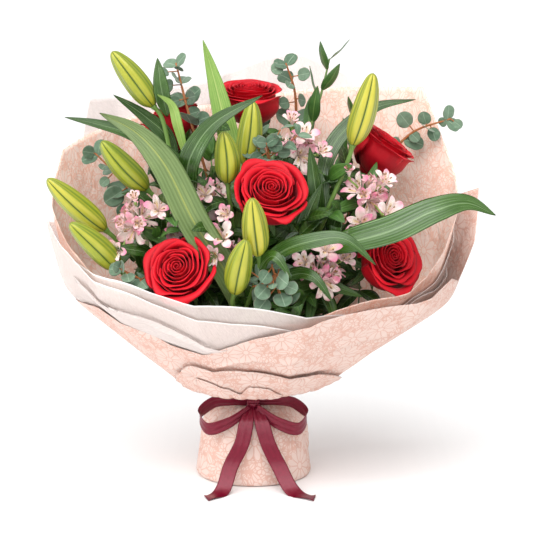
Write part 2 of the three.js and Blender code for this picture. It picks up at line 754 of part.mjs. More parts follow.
// The outer and the inner face as rings of points, joined over the edge, with the same triangles on both.
function paperSheet(sheet, layer) {
  const azimuths = Array.from({ length: SHEET_SIDES }, (_, i) => ((i + 0.5) * 360) / SHEET_SIDES);
  const faces = [0, PAPER].map((through) => azimuths.map((azimuth, i) => (
    sheetSection(azimuth, sheet, layer * SHEET_STEP + through, i % 2 ? 1 : -1))));
  const rows = faces[0][0].length;
  const positions = faces.flatMap((sections) => sections.flatMap((section, i) => (
    section.flatMap(([r, z]) => [r * Math.cos(rad(azimuths[i])), r * Math.sin(rad(azimuths[i])), z]))));
  const at = (face, i, j) => (face * SHEET_SIDES + (i % SHEET_SIDES)) * rows + j;
  const index = [];
  for (let i = 0; i < SHEET_SIDES; i++) {
    for (let j = 0; j < rows - 1; j++) {
      for (const face of [0, 1]) {
        const [a, b] = [at(face, i + face, j), at(face, i + 1 - face, j)];
        const [c, d] = [at(face, i + 1 - face, j + 1), at(face, i + face, j + 1)];
        index.push(...(face ? [a, b, c, a, c, d] : [a, b, d, b, c, d]));
      }
    }
    const [a, b] = [at(0, i, rows - 1), at(0, i + 1, rows - 1)];
    const [c, d] = [at(1, i + 1, rows - 1), at(1, i, rows - 1)];
    index.push(a, b, d, b, c, d);
  }
  return solidOf(meshOf(positions, index));
}

// ---------------------------------------------------------------- twine and ribbon
// Three turns of twine round the stems, side by side.
function twine() {
  const inner = BUNDLE_RADIUS + 0.8;
  const profile = [[0, -4.8], [3.4, -3.2], [2.2, -1.6], [3.4, 0], [2.2, 1.6], [3.4, 3.2], [0, 4.8]];
  const points = [...profile, profile[0]].map(([r, z]) => new THREE.Vector2(inner + r, TIE_HEIGHT + z));
  return solidOf(new THREE.LatheGeometry(points, 14).rotateX(Math.PI / 2));
}

// A strap of ribbon along a curve. wide gives the way that its width lies, at each share of the length.
function strap(curve, wide, steps, width = RIBBON_WIDTH) {
  const sections = Array.from({ length: steps + 1 }, (_, i) => {
    const t = i / steps;
    const centre = curve.getPoint(t);
    const along = curve.getTangent(t);
    const across = wide(t).addScaledVector(along, -wide(t).dot(along)).normalize();
    const up = across.clone().cross(along).multiplyScalar(RIBBON_THICKNESS / 2);
    const half = (typeof width === 'function' ? width(t) : width) / 2;
    return [[1, 1], [1, -1], [-1, -1], [-1, 1]].map(([a, b]) => (
      centre.clone().addScaledVector(across, a * half).addScaledVector(up, b)));
  });
  return solidOf(new LoftGeometry(sections, { capStart: true, capEnd: true }));
}

const KNOT = new THREE.Vector3(0, -44.6, 91.4);
const LOOP = [
  [2, 0, -1], [24, 0, 1], [44, 3, -2], [58, 0, -15], [50, -12, -27], [28, -17, -20], [2, -6, -5]];
const TAILS = [
  [[-1, 0, -1], [-7, -16, -18], [-12, -24, -40], [-24, -30, -64], [-34, -46, -88], [-50, -62, -89.7]],
  [[1, 0, -1], [9, -16, -18], [16, -24, -40], [28, -30, -64], [44, -46, -88], [66, -62, -89.7]],
];
const fromKnot = (side) => ([x, y, z]) => KNOT.clone().add(new THREE.Vector3(side * x, y, z));

// The ribbon: a band round the neck, a knot in front, two loops and two tails that reach the table.
function bow() {
  const band = (radius, height) => solidOf(
    new THREE.CylinderGeometry(radius, radius, height, SHEET_SIDES, 1)
      .rotateX(Math.PI / 2).translate(0, 0, 92));
  const knot = placed(
    solidOf(new THREE.IcosahedronGeometry(8.8, 0).scale(1, 0.9, 0.95)), KNOT, direction([0, 90]));
  const parts = [band(38.9, 9).subtract(band(37.7, 12)), knot];
  for (const side of [-1, 1]) {
    const lie = (t) => new THREE.Vector3(0, -0.55, 0.84).lerp(new THREE.Vector3(0, -0.2, 0.98), t);
    const loop = line(...LOOP.map(fromKnot(side)));
    parts.push(strap(loop, lie, 9, (t) => RIBBON_WIDTH * (0.5 + 0.5 * Math.sin(Math.PI * t) ** 0.5)));
  }
  for (const tail of TAILS) {
    parts.push(strap(line(...tail.map(fromKnot(1))), () => new THREE.Vector3(1, 0, 0), 7,
      (t) => RIBBON_WIDTH * (0.5 + 0.5 * Math.min(1, t * 4))));
  }
  return wasm.Manifold.union(parts);
}

// ---------------------------------------------------------------- assembly
for (const rose of ROSES) addStem(rose.name, vec(rose.at), 2.8);
for (const lily of LILIES) addStem(lily.name, vec(lily.node), 3.6);
for (const plant of ALSTROEMERIAS) addStem(plant.name, vec(plant.at), 2.4);
for (const sprig of [...EUCALYPTUS, ...RUSCUS]) addStem(sprig.name, vec(sprig.path[0]), 1.6);
jostle();
const BUNDLE_RADIUS = Math.max(...stems.map(({ slope, radius }) => slope.length() * STEM_TWIST + radius));

// Each node: the pieces that nothing may cut, and the leaves that give way where they would cross another
// node.
const nodes = [];
const add = (name, color, core, leaves = []) => nodes.push({ name, color, core, leaves });

SHEETS.forEach((sheet, layer) => add(sheet.name, sheet.color, [paperSheet(sheet, layer)]));
add('ribbon_bow', BURGUNDY, [bow()]);
add('binding_twine', TWINE, [twine()]);
for (const rose of ROSES) {
  const { core, leaves } = roseStem(rose);
  add(`${rose.name}_bloom`, RED, [roseBloom(rose)]);
  add(`${rose.name}_stem`, GREEN, core, leaves);
}
for (const lily of LILIES) {
  const { core, leaves } = lilyStem(lily);
  lily.buds.forEach((bud, i) => add(`${lily.name}_bud_${i + 1}`, LIME, [lilyBud(bud)]));
  add(`${lily.name}_stem`, LILY_GREEN, core, leaves);
}
for (const plant of ALSTROEMERIAS) {
  const { core, leaves } = alstroemeriaStem(plant);
  add(`${plant.name}_flowers`, PINK, [alstroemeriaHead(plant)]);
  add(`${plant.name}_stem`, GREEN, core, leaves);
}
for (const sprig of EUCALYPTUS) {
  const { core, leaves } = eucalyptus(sprig);
  add(sprig.name, GREY_GREEN, core, leaves);
}
for (const sprig of RUSCUS) {
  const { core, leaves } = ruscus(sprig);
  add(sprig.name, LIGHT_GREEN, core, leaves);
}

const bouquet = new THREE.Group();
nodes.forEach((node, i) => {
  const cores = nodes.flatMap((other, k) => (k === i ? [] : other.core));
  const earlier = nodes.slice(0, i).flatMap((other) => other.leaves);
  node.leaves = node.leaves.map((blade) => bentClear(blade, [...cores, ...earlier])).filter(Boolean);
  const solid = largest(wasm.Manifold.union([...node.core, ...node.leaves]));
  const material = new THREE.MeshStandardMaterial({ color: node.color, roughness: 0.6, metalness: 0 });
  const mesh = new THREE.Mesh(geometryOf(solid), material);
  mesh.name = node.name;
  bouquet.add(mesh);
});

export default bouquet;
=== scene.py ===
import math

import bpy
import numpy as np
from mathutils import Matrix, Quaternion, Vector


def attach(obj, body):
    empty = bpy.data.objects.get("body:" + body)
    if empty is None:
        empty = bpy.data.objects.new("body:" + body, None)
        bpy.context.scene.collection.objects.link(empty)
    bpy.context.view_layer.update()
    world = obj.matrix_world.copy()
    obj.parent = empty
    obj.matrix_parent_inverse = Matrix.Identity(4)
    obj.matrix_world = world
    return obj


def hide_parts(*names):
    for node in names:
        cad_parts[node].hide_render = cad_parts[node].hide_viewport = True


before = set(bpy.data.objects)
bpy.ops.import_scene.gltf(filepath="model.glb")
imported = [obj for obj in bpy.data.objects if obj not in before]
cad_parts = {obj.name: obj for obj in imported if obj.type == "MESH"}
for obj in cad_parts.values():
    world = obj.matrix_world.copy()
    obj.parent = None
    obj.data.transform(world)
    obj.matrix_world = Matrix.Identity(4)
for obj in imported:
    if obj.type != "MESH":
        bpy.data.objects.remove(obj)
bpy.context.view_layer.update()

MM = 0.001

# ------------------------------------------------------------------ driving dimensions
TIE_HEIGHT = 91.0
STEM_TWIST = 30.0  # how far to its side a stem passes the middle, for each unit of its slope
MAX_SLOPE = 0.56
STEM_FOOT = 5.5
GAP = 0.3  # between a head and its stem
ROSE_STALK, LILY_STALK, ALSTROEMERIA_STALK, SPRIG_STALK = 2.8, 3.6, 2.4, 1.6  # radii
BLOOM_HEIGHT = 50.0
CALYX = 6.0
BUD_RADIUS = 13.0
UMBEL_SEAT = 6.8
SHEET_STEP = 1.5  # from one sheet of paper to the next
RIBBON_WIDTH, RIBBON_LENGTH = 16.5, 760.0

# ------------------------------------------------------------------ layout
# at: the base of the head. aim: the way that it faces, azimuth and rise in degrees.
ROSES = [
    dict(name="rose_centre", at=(15, -84, 306), aim=(-82, 42), radius=41, seed=3),
    dict(name="rose_lower_left", at=(-65, -97, 234), aim=(-108, 30), radius=39, seed=5),
    dict(name="rose_lower_right", at=(123, -61, 242), aim=(-54, 25), radius=39, seed=8),
    dict(name="rose_right", at=(122, 16, 334), aim=(-10, 55), radius=38, seed=13),
    dict(name="rose_top", at=(-5, 44, 382), aim=(-90, 78), radius=40, seed=21),
    dict(name="rose_upper_left", at=(-80, 28, 358), aim=(150, 68), radius=35, seed=34),
]


def leaf(width, face, look, *spine, own_course=False):
    """A lily's leaf. own_course: it isn't bent as in the solids, clear of its neighbours."""
    return dict(width=width, face=face, look=look, spine=spine, own_course=own_course)


FRONT, FRONT_UP = (0, -1, 0.2), (0, -0.8, 0.6)
DARK, PALE, BRIGHT = 0, 1, 2  # the look of a lily leaf
# buds: the base and the tip of each. small: leaves that only this scene has.
LILIES = [
    dict(name="lily_upper_left", node=(-74, -38, 262),
         buds=[((-107, -22, 412), (-150, -26, 470)), ((-112, -66, 328), (-158, -78, 380))],
         leaves=[leaf(24, FRONT, DARK, (-72, -34, 240), (-66, -72, 330), (-60, -92, 372), (-36, -92, 408),
                      (16, -78, 436)),
                 leaf(16, FRONT_UP, DARK, (-74, -32, 300), (-78, -44, 350), (-128, -56, 384),
                      (-164, -62, 396), (-198, -66, 404)),
                 leaf(17, FRONT, DARK, (-78, -26, 318), (-92, -18, 376), (-116, -18, 400), (-150, -22, 424))],
         small=[leaf(17, FRONT, DARK, (-92, -22, 400), (-98, -26, 432), (-102, -20, 463)),
                leaf(11, FRONT_UP, BRIGHT, (-70, -32, 350), (-80, -32, 390), (-87, -29, 413),
                     (-102, -32, 425))]),
    dict(name="lily_left", node=(-106, -56, 236),
         buds=[((-156, -74, 286), (-214, -90, 342)), ((-140, -98, 248), (-188, -120, 300))],
         leaves=[leaf(18, FRONT_UP, DARK, (-100, -54, 228), (-116, -84, 262), (-132, -100, 270),
                      (-150, -104, 274)),
                 leaf(13, FRONT_UP, DARK, (-100, -50, 238), (-104, -70, 300), (-120, -74, 322),
                      (-138, -78, 325))]),
    dict(name="lily_centre", node=(-18, -56, 270),
         buds=[((-26, -86, 338), (-30, -98, 392)), ((-8, -52, 352), (0, -54, 420))],
         leaves=[leaf(23, FRONT, BRIGHT, (-16, -44, 280), (-20, -22, 350), (-32, -12, 400), (-42, -8, 440),
                      (-54, -6, 482)),
                 leaf(20, FRONT, DARK, (-22, -50, 262), (-48, -46, 310), (-62, -52, 340))]),
    dict(name="lily_front", node=(-12, -112, 196),
         buds=[((6, -148, 272), (0, -180, 334)), ((-18, -146, 232), (-6, -180, 292))],
         leaves=[leaf(33, FRONT, PALE, (-14, -104, 190), (-24, -116, 240), (-60, -118, 300), (-92, -112, 362),
                      (-120, -106, 392), (-158, -102, 412), own_course=True),
                 leaf(19, FRONT_UP, DARK, (0, -112, 206), (24, -136, 268), (62, -150, 286), (94, -152, 288),
                      (126, -156, 262)),
                 leaf(16, FRONT_UP, DARK, (-4, -116, 200), (6, -140, 252), (22, -160, 272), (40, -166, 250)),
                 leaf(15, FRONT_UP, DARK, (4, -106, 198), (42, -128, 240), (64, -144, 240),
                      (82, -152, 212))]),
    dict(name="lily_right", node=(78, -52, 300),
         buds=[((106, -54, 374), (126, -66, 450))],
         leaves=[leaf(33, FRONT_UP, DARK, (66, -52, 250), (92, -112, 276), (142, -124, 292), (188, -116, 312),
                      (222, -104, 318), (254, -96, 304)),
                 leaf(19, FRONT_UP, DARK, (76, -44, 300), (78, -30, 350), (98, -14, 384), (132, -8, 408),
                      (176, -12, 418)),
                 leaf(17, FRONT, DARK, (72, -54, 280), (66, -64, 330), (60, -62, 372)),
                 leaf(20, FRONT, DARK, (66, -54, 252), (54, -84, 290), (72, -84, 336))]),
]

RAYS = 3  # of each kind in an umbel
# more: further florets, each with its place, the way it faces, its size and how far it is open.
ALSTROEMERIAS = [
    dict(name="alstroemeria_left", at=(-120, -76, 290), aim=(-110, 30),
         more=[((-99, -94, 308), (-80, 30), 0.85, 1.0), ((-139, -98, 268), (-110, 5), 0.8, 0.9),
               ((-86, -92, 284), (-70, 20), 0.8, 0.8), ((-122, -96, 318), (-100, 50), 0.7, 0.6)]),
    dict(name="alstroemeria_centre_left", at=(-44, -48, 306), aim=(-110, 50),
         more=[((-49, -80, 322), (-100, 30), 0.85, 1.0), ((-25, -96, 304), (-110, 20), 0.75, 0.8),
               ((-60, -66, 330), (-100, 60), 0.6, 0.5)]),
    dict(name="alstroemeria_mid_left", at=(-24, -84, 250), aim=(-92, 32),
         more=[((-30, -110, 281), (-100, 30), 0.9, 1.0), ((-37, -112, 264), (-110, 5), 0.75, 0.9)]),
    dict(name="alstroemeria_top", at=(46, -18, 352), aim=(-70, 60),
         more=[((42, -16, 390), (-90, 60), 0.8, 0.7), ((70, -40, 362), (-60, 30), 0.75, 0.8),
               ((54, -30, 376), (-80, 40), 0.9, 1.0)]),
    dict(name="alstroemeria_right", at=(118, -48, 314), aim=(-70, 35),
         more=[((139, -74, 302), (-60, 20), 0.95, 1.0), ((113, -80, 294), (-90, 5), 0.95, 1.0),
               ((102, -60, 340), (-95, 60), 0.75, 0.5), ((136, -62, 330), (-50, 50), 0.85, 0.9)]),
    dict(name="alstroemeria_low_right", at=(70, -94, 236), aim=(-75, 35),
         more=[((76, -114, 268), (-85, 30), 1.0, 1.0), ((92, -104, 258), (-60, 30), 0.85, 0.8),
               ((56, -112, 256), (-110, 20), 0.8, 0.9)]),
]

# rounds: the centre and the radius of each further leaf that faces the front.
EUCALYPTUS = [
    dict(name="eucalyptus_left", path=[(-112, -24, 292), (-140, -22, 330), (-170, -18, 360)], pairs=4,
         leaf=13, rounds=[(-177, -24, 362, 8), (-160, -28, 346, 7), (-150, -30, 315, 12), (-133, -30, 325, 9),
                 (-160, -24, 330, 6), (-140, -34, 300, 8), (-128, -34, 312, 8)]),
    dict(name="eucalyptus_upper_left", path=[(-64, 2, 380), (-75, 8, 420), (-84, 16, 455)], pairs=4, leaf=12,
         rounds=[(-66, -8, 420, 9), (-92, -4, 432, 8), (-96, 0, 446, 6), (-64, 2, 402, 8), (-86, 4, 414, 7),
                 (-80, 4, 450, 6), (-54, -4, 396, 9)]),
    dict(name="eucalyptus_top", path=[(46, 62, 372), (46, 62, 420), (36, 58, 452)], pairs=4, leaf=12,
         rounds=[(26, 50, 446, 8), (56, 52, 440, 8), (40, 50, 428, 7), (54, 50, 412, 8), (34, 50, 408, 8)]),
    dict(name="eucalyptus_right", path=[(140, 60, 330), (176, 56, 374), (218, 40, 392)], pairs=4, leaf=12,
         rounds=[(168, 50, 390, 10), (190, 48, 392, 8), (200, 46, 374, 8), (210, 44, 388, 6),
                 (226, 40, 386, 6), (180, 52, 370, 7), (158, 54, 362, 9)]),
    dict(name="eucalyptus_front", path=[(30, -116, 214), (26, -136, 236), (20, -150, 262)], pairs=3, leaf=11,
         rounds=[(31, -162, 248, 11), (13, -162, 251, 8.5), (10, -160, 235, 9.5), (31, -160, 227, 10.5),
                 (10, -156, 221, 10), (40, -154, 238, 8), (21, -164, 242, 5)]),
    dict(name="eucalyptus_centre", path=[(20, -40, 330), (18, -52, 356), (14, -62, 376)], pairs=3, leaf=11,
         rounds=[(-3, -62, 368, 9), (9, -66, 377, 7), (24, -64, 374, 8), (33, -58, 366, 7),
                 (4, -66, 360, 8)]),
    dict(name="eucalyptus_low_left", path=[(-98, -98, 222), (-118, -112, 240), (-136, -122, 252)], pairs=3,
         leaf=11, rounds=[(-112, -124, 236, 9), (-128, -128, 244, 8), (-140, -130, 256, 7),
                          (-104, -116, 248, 9)]),
]

RUSCUS = [
    dict(name="ruscus_top", path=[(60, 34, 372), (74, 40, 416), (84, 44, 458)], leaves=8, leaf=52, width=15),
    dict(name="ruscus_right", path=[(92, 66, 320), (108, 68, 356), (114, 70, 390)], leaves=7, leaf=46,
         width=14),
]

# rim: where each sheet's edge turns, azimuth and distance up the flare. lean and flap: how far out it leans.
SHEETS = [
    dict(name="wrap_printed_outer", look="printed", cut=(0.50, 0.48), lean=2, flap=(-22.5, 5),
         rim=[(-172.5, 150), (-157.5, 150), (-142.5, 132), (-127.5, 96), (-112.5, 88), (-97.5, 102),
              (-82.5, 122), (-67.5, 152), (-52.5, 169), (-37.5, 182), (-22.5, 208), (-7.5, 198), (7.5, 290),
              (22.5, 225), (67.5, 240), (97.5, 215), (142.5, 250), (172.5, 170)]),
    dict(name="wrap_sheer_outer", look="sheer", cut=(0.53, 0.50), lean=1.3, flap=(-172.5, 0.5),
         rim=[(-172.5, 255), (-157.5, 222), (-142.5, 192), (-112.5, 148), (-97.5, 134), (-67.5, 124),
              (-22.5, 169), (-7.5, 176), (37.5, 260), (97.5, 330), (142.5, 285), (172.5, 235)]),
    dict(name="wrap_sheer_inner", look="sheer", cut=(0.55, 0.52), lean=0.6, flap=(0, 0),
         rim=[(-172.5, 212), (-142.5, 196), (-112.5, 165), (-97.5, 158), (-82.5, 151), (-67.5, 144),
              (-52.5, 140), (-22.5, 168), (-7.5, 195), (7.5, 262), (37.5, 335), (52.5, 358), (67.5, 372),
              (82.5, 366), (112.5, 340), (142.5, 335), (157.5, 348), (172.5, 222)]),
    # its look is the printed paper's copy that is coloured lighter, as painted light
    dict(name="wrap_printed_inner", look="printed_inner", cut=(0.56, 0.53), lean=0, flap=(0, 0),
         rim=[(-172.5, 244), (-142.5, 180), (-127.5, 150), (-97.5, 118), (-67.5, 134), (-52.5, 153),
              (-37.5, 167), (-22.5, 188), (-7.5, 243), (7.5, 288), (22.5, 362), (37.5, 345), (52.5, 336),
              (97.5, 310), (142.5, 312), (172.5, 308)]),
]


# ------------------------------------------------------------------ curves and directions
def vec(p):
    return np.array(p, float)


def unit(v):
    return v / np.linalg.norm(v, axis=-1, keepdims=True)


def direction(azimuth, rise):
    a, r = math.radians(azimuth), math.radians(rise)
    return vec((math.cos(r) * math.cos(a), math.cos(r) * math.sin(a), math.sin(r)))


def turned(v, axis, degrees):
    return vec(Quaternion(Vector(axis), math.radians(degrees)) @ Vector(v))


def side_of(axis, degrees):
    """A direction square to an axis, turned round it."""
    first = np.cross((0, 0, 1), axis)
    if np.linalg.norm(first) < 0.1:
        first = vec((1, 0, 0))
    return turned(unit(first), unit(axis), degrees)


def placed(points, at, aim):
    """Points turned from +Z to aim and moved to a place."""
    turn = np.array(Vector((0, 0, 1)).rotation_difference(Vector(aim)).to_matrix())
    return points @ turn.T + vec(at)


def bent(points, bend, root):
    return (points - root) @ np.array(bend.to_matrix()).T + root


class Spine:
    """A centripetal Catmull-Rom curve through its points, from 0 to 1."""

    def __init__(self, *points):
        self.points = [vec(p) for p in points]

    def at(self, t):
        points, last = self.points, len(self.points) - 1
        i = min(int(t * last), last - 1)
        w = t * last - i
        p1, p2 = points[i], points[i + 1]
        p0 = points[i - 1] if i else 2 * p1 - p2
        p3 = points[i + 2] if i + 2 <= last else 2 * p2 - p1
        d0, d1, d2 = (max(np.linalg.norm(b - a), 1e-8) ** 0.5 for a, b in ((p0, p1), (p1, p2), (p2, p3)))
        m1 = ((p1 - p0) / d0 - (p2 - p0) / (d0 + d1) + (p2 - p1) / d1) * d1
        m2 = ((p2 - p1) / d1 - (p3 - p1) / (d1 + d2) + (p3 - p2) / d2) * d1
        return (p1 + m1 * w + (3 * (p2 - p1) - 2 * m1 - m2) * w ** 2
                + (2 * (p1 - p2) + m1 + m2) * w ** 3)

    def way(self, t):
        return unit(self.at(min(t + 1e-4, 1)) - self.at(max(t - 1e-4, 0)))


# ------------------------------------------------------------------ meshes
def added(name, data):
    made = bpy.data.objects.new(name, data)
    bpy.context.scene.collection.objects.link(made)
    return made


def stands_for(piece, slot, *nodes):
    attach(piece, "root")
    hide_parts(*nodes)
    return piece


def unit_uv(rows, columns):
    v, u = np.meshgrid(np.linspace(0, 1, rows), np.linspace(0, 1, columns), indexing="ij")
    return np.stack([u, v], 2)


def normals(across, along):
    normal = np.cross(across, along)
    return normal / np.maximum(np.linalg.norm(normal, axis=2, keepdims=True), 1e-9)


class Piece:
    """Collects grids of quads, with a texture place for each corner and a tone for each blade."""

    def __init__(self, name):
        self.name, self.count = name, 0
        self.points, self.faces, self.places, self.looks, self.tones, self.caps = [], [], [], [], [], []

    def grid(self, points, look=0, tone=0.5, uv=None, flip=False):
        """points: rows x columns, of which the last joins the first. uv has one column more."""
        rows, columns = points.shape[:2]
        base = self.count
        self.points.append(points.reshape(-1, 3))
        self.tones.append(np.broadcast_to(tone, (rows, columns)).ravel())
        self.count += rows * columns
        uv = unit_uv(rows, columns + 1) if uv is None else uv
        self.quads(lambda r, c: base + r * columns + c % columns, rows, columns + 1, uv, look, flip)
        return base

    def close(self, base, rows, columns, look=0):
        """Flat faces over the two ends of a grid."""
        ring = np.arange(columns) + base
        self.caps += [(ring[::-1], look), (ring + (rows - 1) * columns, look)]

    def quads(self, index, rows, columns, uv, look, flip=False):
        r, c = (a.ravel() for a in np.meshgrid(np.arange(rows - 1), np.arange(columns - 1), indexing="ij"))
        corners = [(r, c), (r, c + 1), (r + 1, c + 1), (r + 1, c)]
        if flip:
            corners.reverse()
        self.faces.append(np.stack([index(a, b) for a, b in corners], 1))
        self.places.append(np.stack([uv[a, b] for a, b in corners], 1))
        self.looks.append(np.full(len(r), look))

    def skin(self, points, thickness, look=0, tone=0.5, uv=None):
        """A blade: two faces that meet in a sharp edge all round."""
        rows, columns = points.shape[:2]
        uv = unit_uv(rows, columns) if uv is None else uv
        middle = np.zeros((rows, columns), bool)
        middle[1:-1, 1:-1] = True
        outward = normals(np.gradient(points, axis=1), np.gradient(points, axis=0))
        half = outward * middle[..., None] * thickness / 2
        back = np.arange(rows * columns).reshape(rows, columns)
        back[middle] = rows * columns + np.arange(middle.sum())
        self.points += [(points + half).reshape(-1, 3), (points - half)[middle]]
        base, total = self.count, rows * columns + int(middle.sum())
        self.tones.append(np.full(total, tone))
        self.count += total
        self.quads(lambda r, c: base + r * columns + c, rows, columns, uv, look)
        self.quads(lambda r, c: base + back[r, c], rows, columns, uv, look, flip=True)

    def tube(self, spine, radius, steps, sides=10, look=0, tone=0.5):
        """radius: a number, or a function of the share of the length."""
        across, rings = side_of(spine.way(0), 0), []
        angle = np.arange(sides)[:, None] * 2 * math.pi / sides
        for t in np.linspace(0, 1, steps + 1):
            way = spine.way(t)
            across = unit(across - way * across.dot(way))
            size = radius(t) if callable(radius) else radius
            ring = np.cos(angle) * across + np.sin(angle) * np.cross(way, across)
            rings.append(spine.at(t) + size * ring)
        self.close(self.grid(np.array(rings), look, tone), steps + 1, sides, look)

    def lathed(self, radius, angle, heights, bow, at, aim, tone):
        """A closed body of rings round an axis, which is bowed to one side."""
        points = np.stack([radius * np.cos(angle) + bow, radius * np.sin(angle), heights + 0 * radius], 2)
        self.close(self.grid(placed(points, at, aim), 0, tone), *radius.shape)

    def leaf(self, dice, spine, width, face, kind, look=1, bend=None, root=None, seed=None):
        """A leaf, with the seed of its wave and its tone drawn by the dice."""
        seed = dice.integers(1 << 30) if seed is None else seed
        *form, thickness = kind
        points = blade(spine, width, face, *form, seed)
        if bend:
            points = bent(points, bend, spine.points[0] if root is None else root)
        self.skin(points, thickness, look, dice.uniform())

    def stand_for(self, node, slot, *materials):
        """Builds the mesh, which takes the place of a solid."""
        mesh = bpy.data.meshes.new(self.name)
        faces = np.concatenate(self.faces).tolist() + [cap.tolist() for cap, _ in self.caps]
        mesh.from_pydata((np.concatenate(self.points) * MM).tolist(), [], faces)
        flat_caps = [np.zeros((len(cap), 2)) for cap, _ in self.caps]
        corners = np.concatenate([np.concatenate(self.places).reshape(-1, 2)] + flat_caps)
        corners = corners.astype(np.float32).ravel()
        mesh.uv_layers.new(name="flat").data.foreach_set("uv", corners)
        looks = np.concatenate(self.looks + [[look] for _, look in self.caps]).astype(np.int32)
        mesh.polygons.foreach_set("material_index", looks)
        mesh.polygons.foreach_set("use_smooth", np.ones(len(mesh.polygons), bool))
        tones = np.concatenate(self.tones).astype(np.float32)
        mesh.attributes.new("tone", "FLOAT", "POINT").data.foreach_set("value", tones)
        for material in materials:
            mesh.materials.append(material)
        mesh.validate()
        mesh.update()
        return stands_for(added(self.name, mesh), slot, node)


def lance(t):
    return np.sin(math.pi * np.clip(t, 0, 1) ** 0.8) ** 0.8


def rounded(t):
    return np.sqrt(np.maximum(0, 1 - (2 * t - 1) ** 2))


def saw(t):
    """A leaflet's outline with its teeth."""
    return lance(t) * (1 - 0.1 * ((t * 10) % 1) ** 1.5)


def spoon(t):
    """Narrow below, broad near the tip, with a small point."""
    return np.sin(math.pi * np.clip(t, 0, 1) ** 1.45) ** 0.8 * 0.97 + 0.05 * (1 - t)


def blade(spine, width, face, outline, cup, grid, wave, seed):
    """Points of a leaf blade, whose edges lift by the cup and wave a little."""
    phase = np.random.default_rng(seed).uniform(0, 2 * math.pi, 4)[0]
    u = np.linspace(-1, 1, grid[1])
    rows = []
    for t in np.linspace(0.004, 0.996, grid[0]):
        along = spine.way(t)
        side = unit(np.cross(along, face))
        half = width / 2 * outline(t)
        ripple = wave * half * u * np.abs(u) * np.sin(11 * t + phase + 1.5 * np.sign(u))
        lift = cup * half * np.abs(u) ** 1.4 + ripple
        rows.append(spine.at(t) + side * (half * u)[:, None] + np.cross(side, along) * lift[:, None])
    return np.array(rows)


# Kinds of leaf: outline, cup, rows and columns of points, wave, thickness.
LEAFLET = (saw, 0.22, (44, 9), 0.06, 0.35)
SEPAL_BLADE = (lance, 0.3, (20, 7), 0.1, 0.4)
LILY_BLADE = (lance, 0.25, (60, 15), 0.07, 0.5)
SMALL_LILY_BLADE = (lance, 0.3, (40, 11), 0.1, 0.5)
ALSTROEMERIA_BLADE = (lance, 0.2, (36, 11), 0.09, 0.4)
ROUND_LEAF = (rounded, 0.12, (28, 15), 0.05, 0.45)
FURTHER_ROUND_LEAF = (rounded, 0.12, (28, 15), 0.06, 0.45)
RUSCUS_BLADE = (lance, 0.18, (36, 11), 0.05, 0.45)


# ------------------------------------------------------------------ the bend that a leaf took
ANGLES = (0, 7, -7, 14, -14, 22, -22, 32, -32, 45, -45)
BENDS = sorted(((a, b) for a in ANGLES for b in ANGLES), key=lambda p: abs(p[0]) + abs(p[1]))
corners_of = {}


def taken_bend(node, root, tip, face):
    """How the node's own leaf was bent clear of its neighbours, found by where its tip lies."""
    if node not in corners_of:
        corners_of[node] = np.array([v.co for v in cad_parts[node].data.vertices]) / MM
    across = unit(np.cross(unit(tip - root), face))
    for turn, tilt in BENDS:
        bend = (Quaternion(Vector(unit(face)), math.radians(turn))
                @ Quaternion(Vector(across), math.radians(tilt)))
        there = vec(bend @ Vector(tip - root)) + root
        if np.linalg.norm(corners_of[node] - there, axis=1).min() < 0.05:
            return bend
    return None


# ------------------------------------------------------------------ stems
stems = {}
STEM_SPACE = 1.2  # between two stems at the tie


def dice_for(name):
    return np.random.default_rng(sum(map(ord, name)))


def held(slope):
    size = np.linalg.norm(slope)
    return slope * min(1, MAX_SLOPE / size) if size else slope


def add_stem(name, head, radius):
    rise = head[2] - TIE_HEIGHT
    slope = vec((rise * head[0] + STEM_TWIST * head[1], rise * head[1] - STEM_TWIST * head[0]))
    stems[name] = [held(slope / (rise ** 2 + STEM_TWIST ** 2)), radius]


def jostle():
    """Moves the stems apart where they pass each other at the tie."""
    every = list(stems.values())
    pairs = [(a, b) for a in every for b in every if a is not b]
    for _ in range(400):
        for a, b in pairs:
            apart = a[0] - b[0]
            size, wanted = np.linalg.norm(apart), (a[1] + b[1] + STEM_SPACE) / STEM_TWIST
            if size < wanted:
                push = apart / size * (wanted - size) / 2
                a[0], b[0] = held(a[0] + push), held(b[0] - push)


def stem_at(slope, z):
    rise = z - TIE_HEIGHT
    return vec((rise * slope[0] - STEM_TWIST * slope[1], rise * slope[1] + STEM_TWIST * slope[0], z))


def stem_spine(name, points):
    slope, radius = stems[name]
    foot = STEM_FOOT + radius * math.sin(math.atan(np.linalg.norm(slope)))
    bend = TIE_HEIGHT + 0.3 * (points[0][2] - TIE_HEIGHT)
    return Spine(*(stem_at(slope, z) for z in (foot, TIE_HEIGHT, bend)), *points)


for rose in ROSES:
    add_stem(rose["name"], rose["at"], ROSE_STALK)
for lily in LILIES:
    add_stem(lily["name"], lily["node"], LILY_STALK)
for plant in ALSTROEMERIAS:
    add_stem(plant["name"], plant["at"], ALSTROEMERIA_STALK)
for plant in EUCALYPTUS + RUSCUS:
    add_stem(plant["name"], plant["path"][0], SPRIG_STALK)
jostle()
BUNDLE_RADIUS = max(np.linalg.norm(slope) * STEM_TWIST + radius for slope, radius in stems.values())


# ------------------------------------------------------------------ materials
def rgb(text):
    """A colour given as on a screen, in the renderer's own units."""
    parts = [int(text[i:i + 2], 16) / 255 for i in (0, 2, 4)]
    return tuple(c / 12.92 if c <= 0.04045 else ((c + 0.055) / 1.055) ** 2.4 for c in parts)


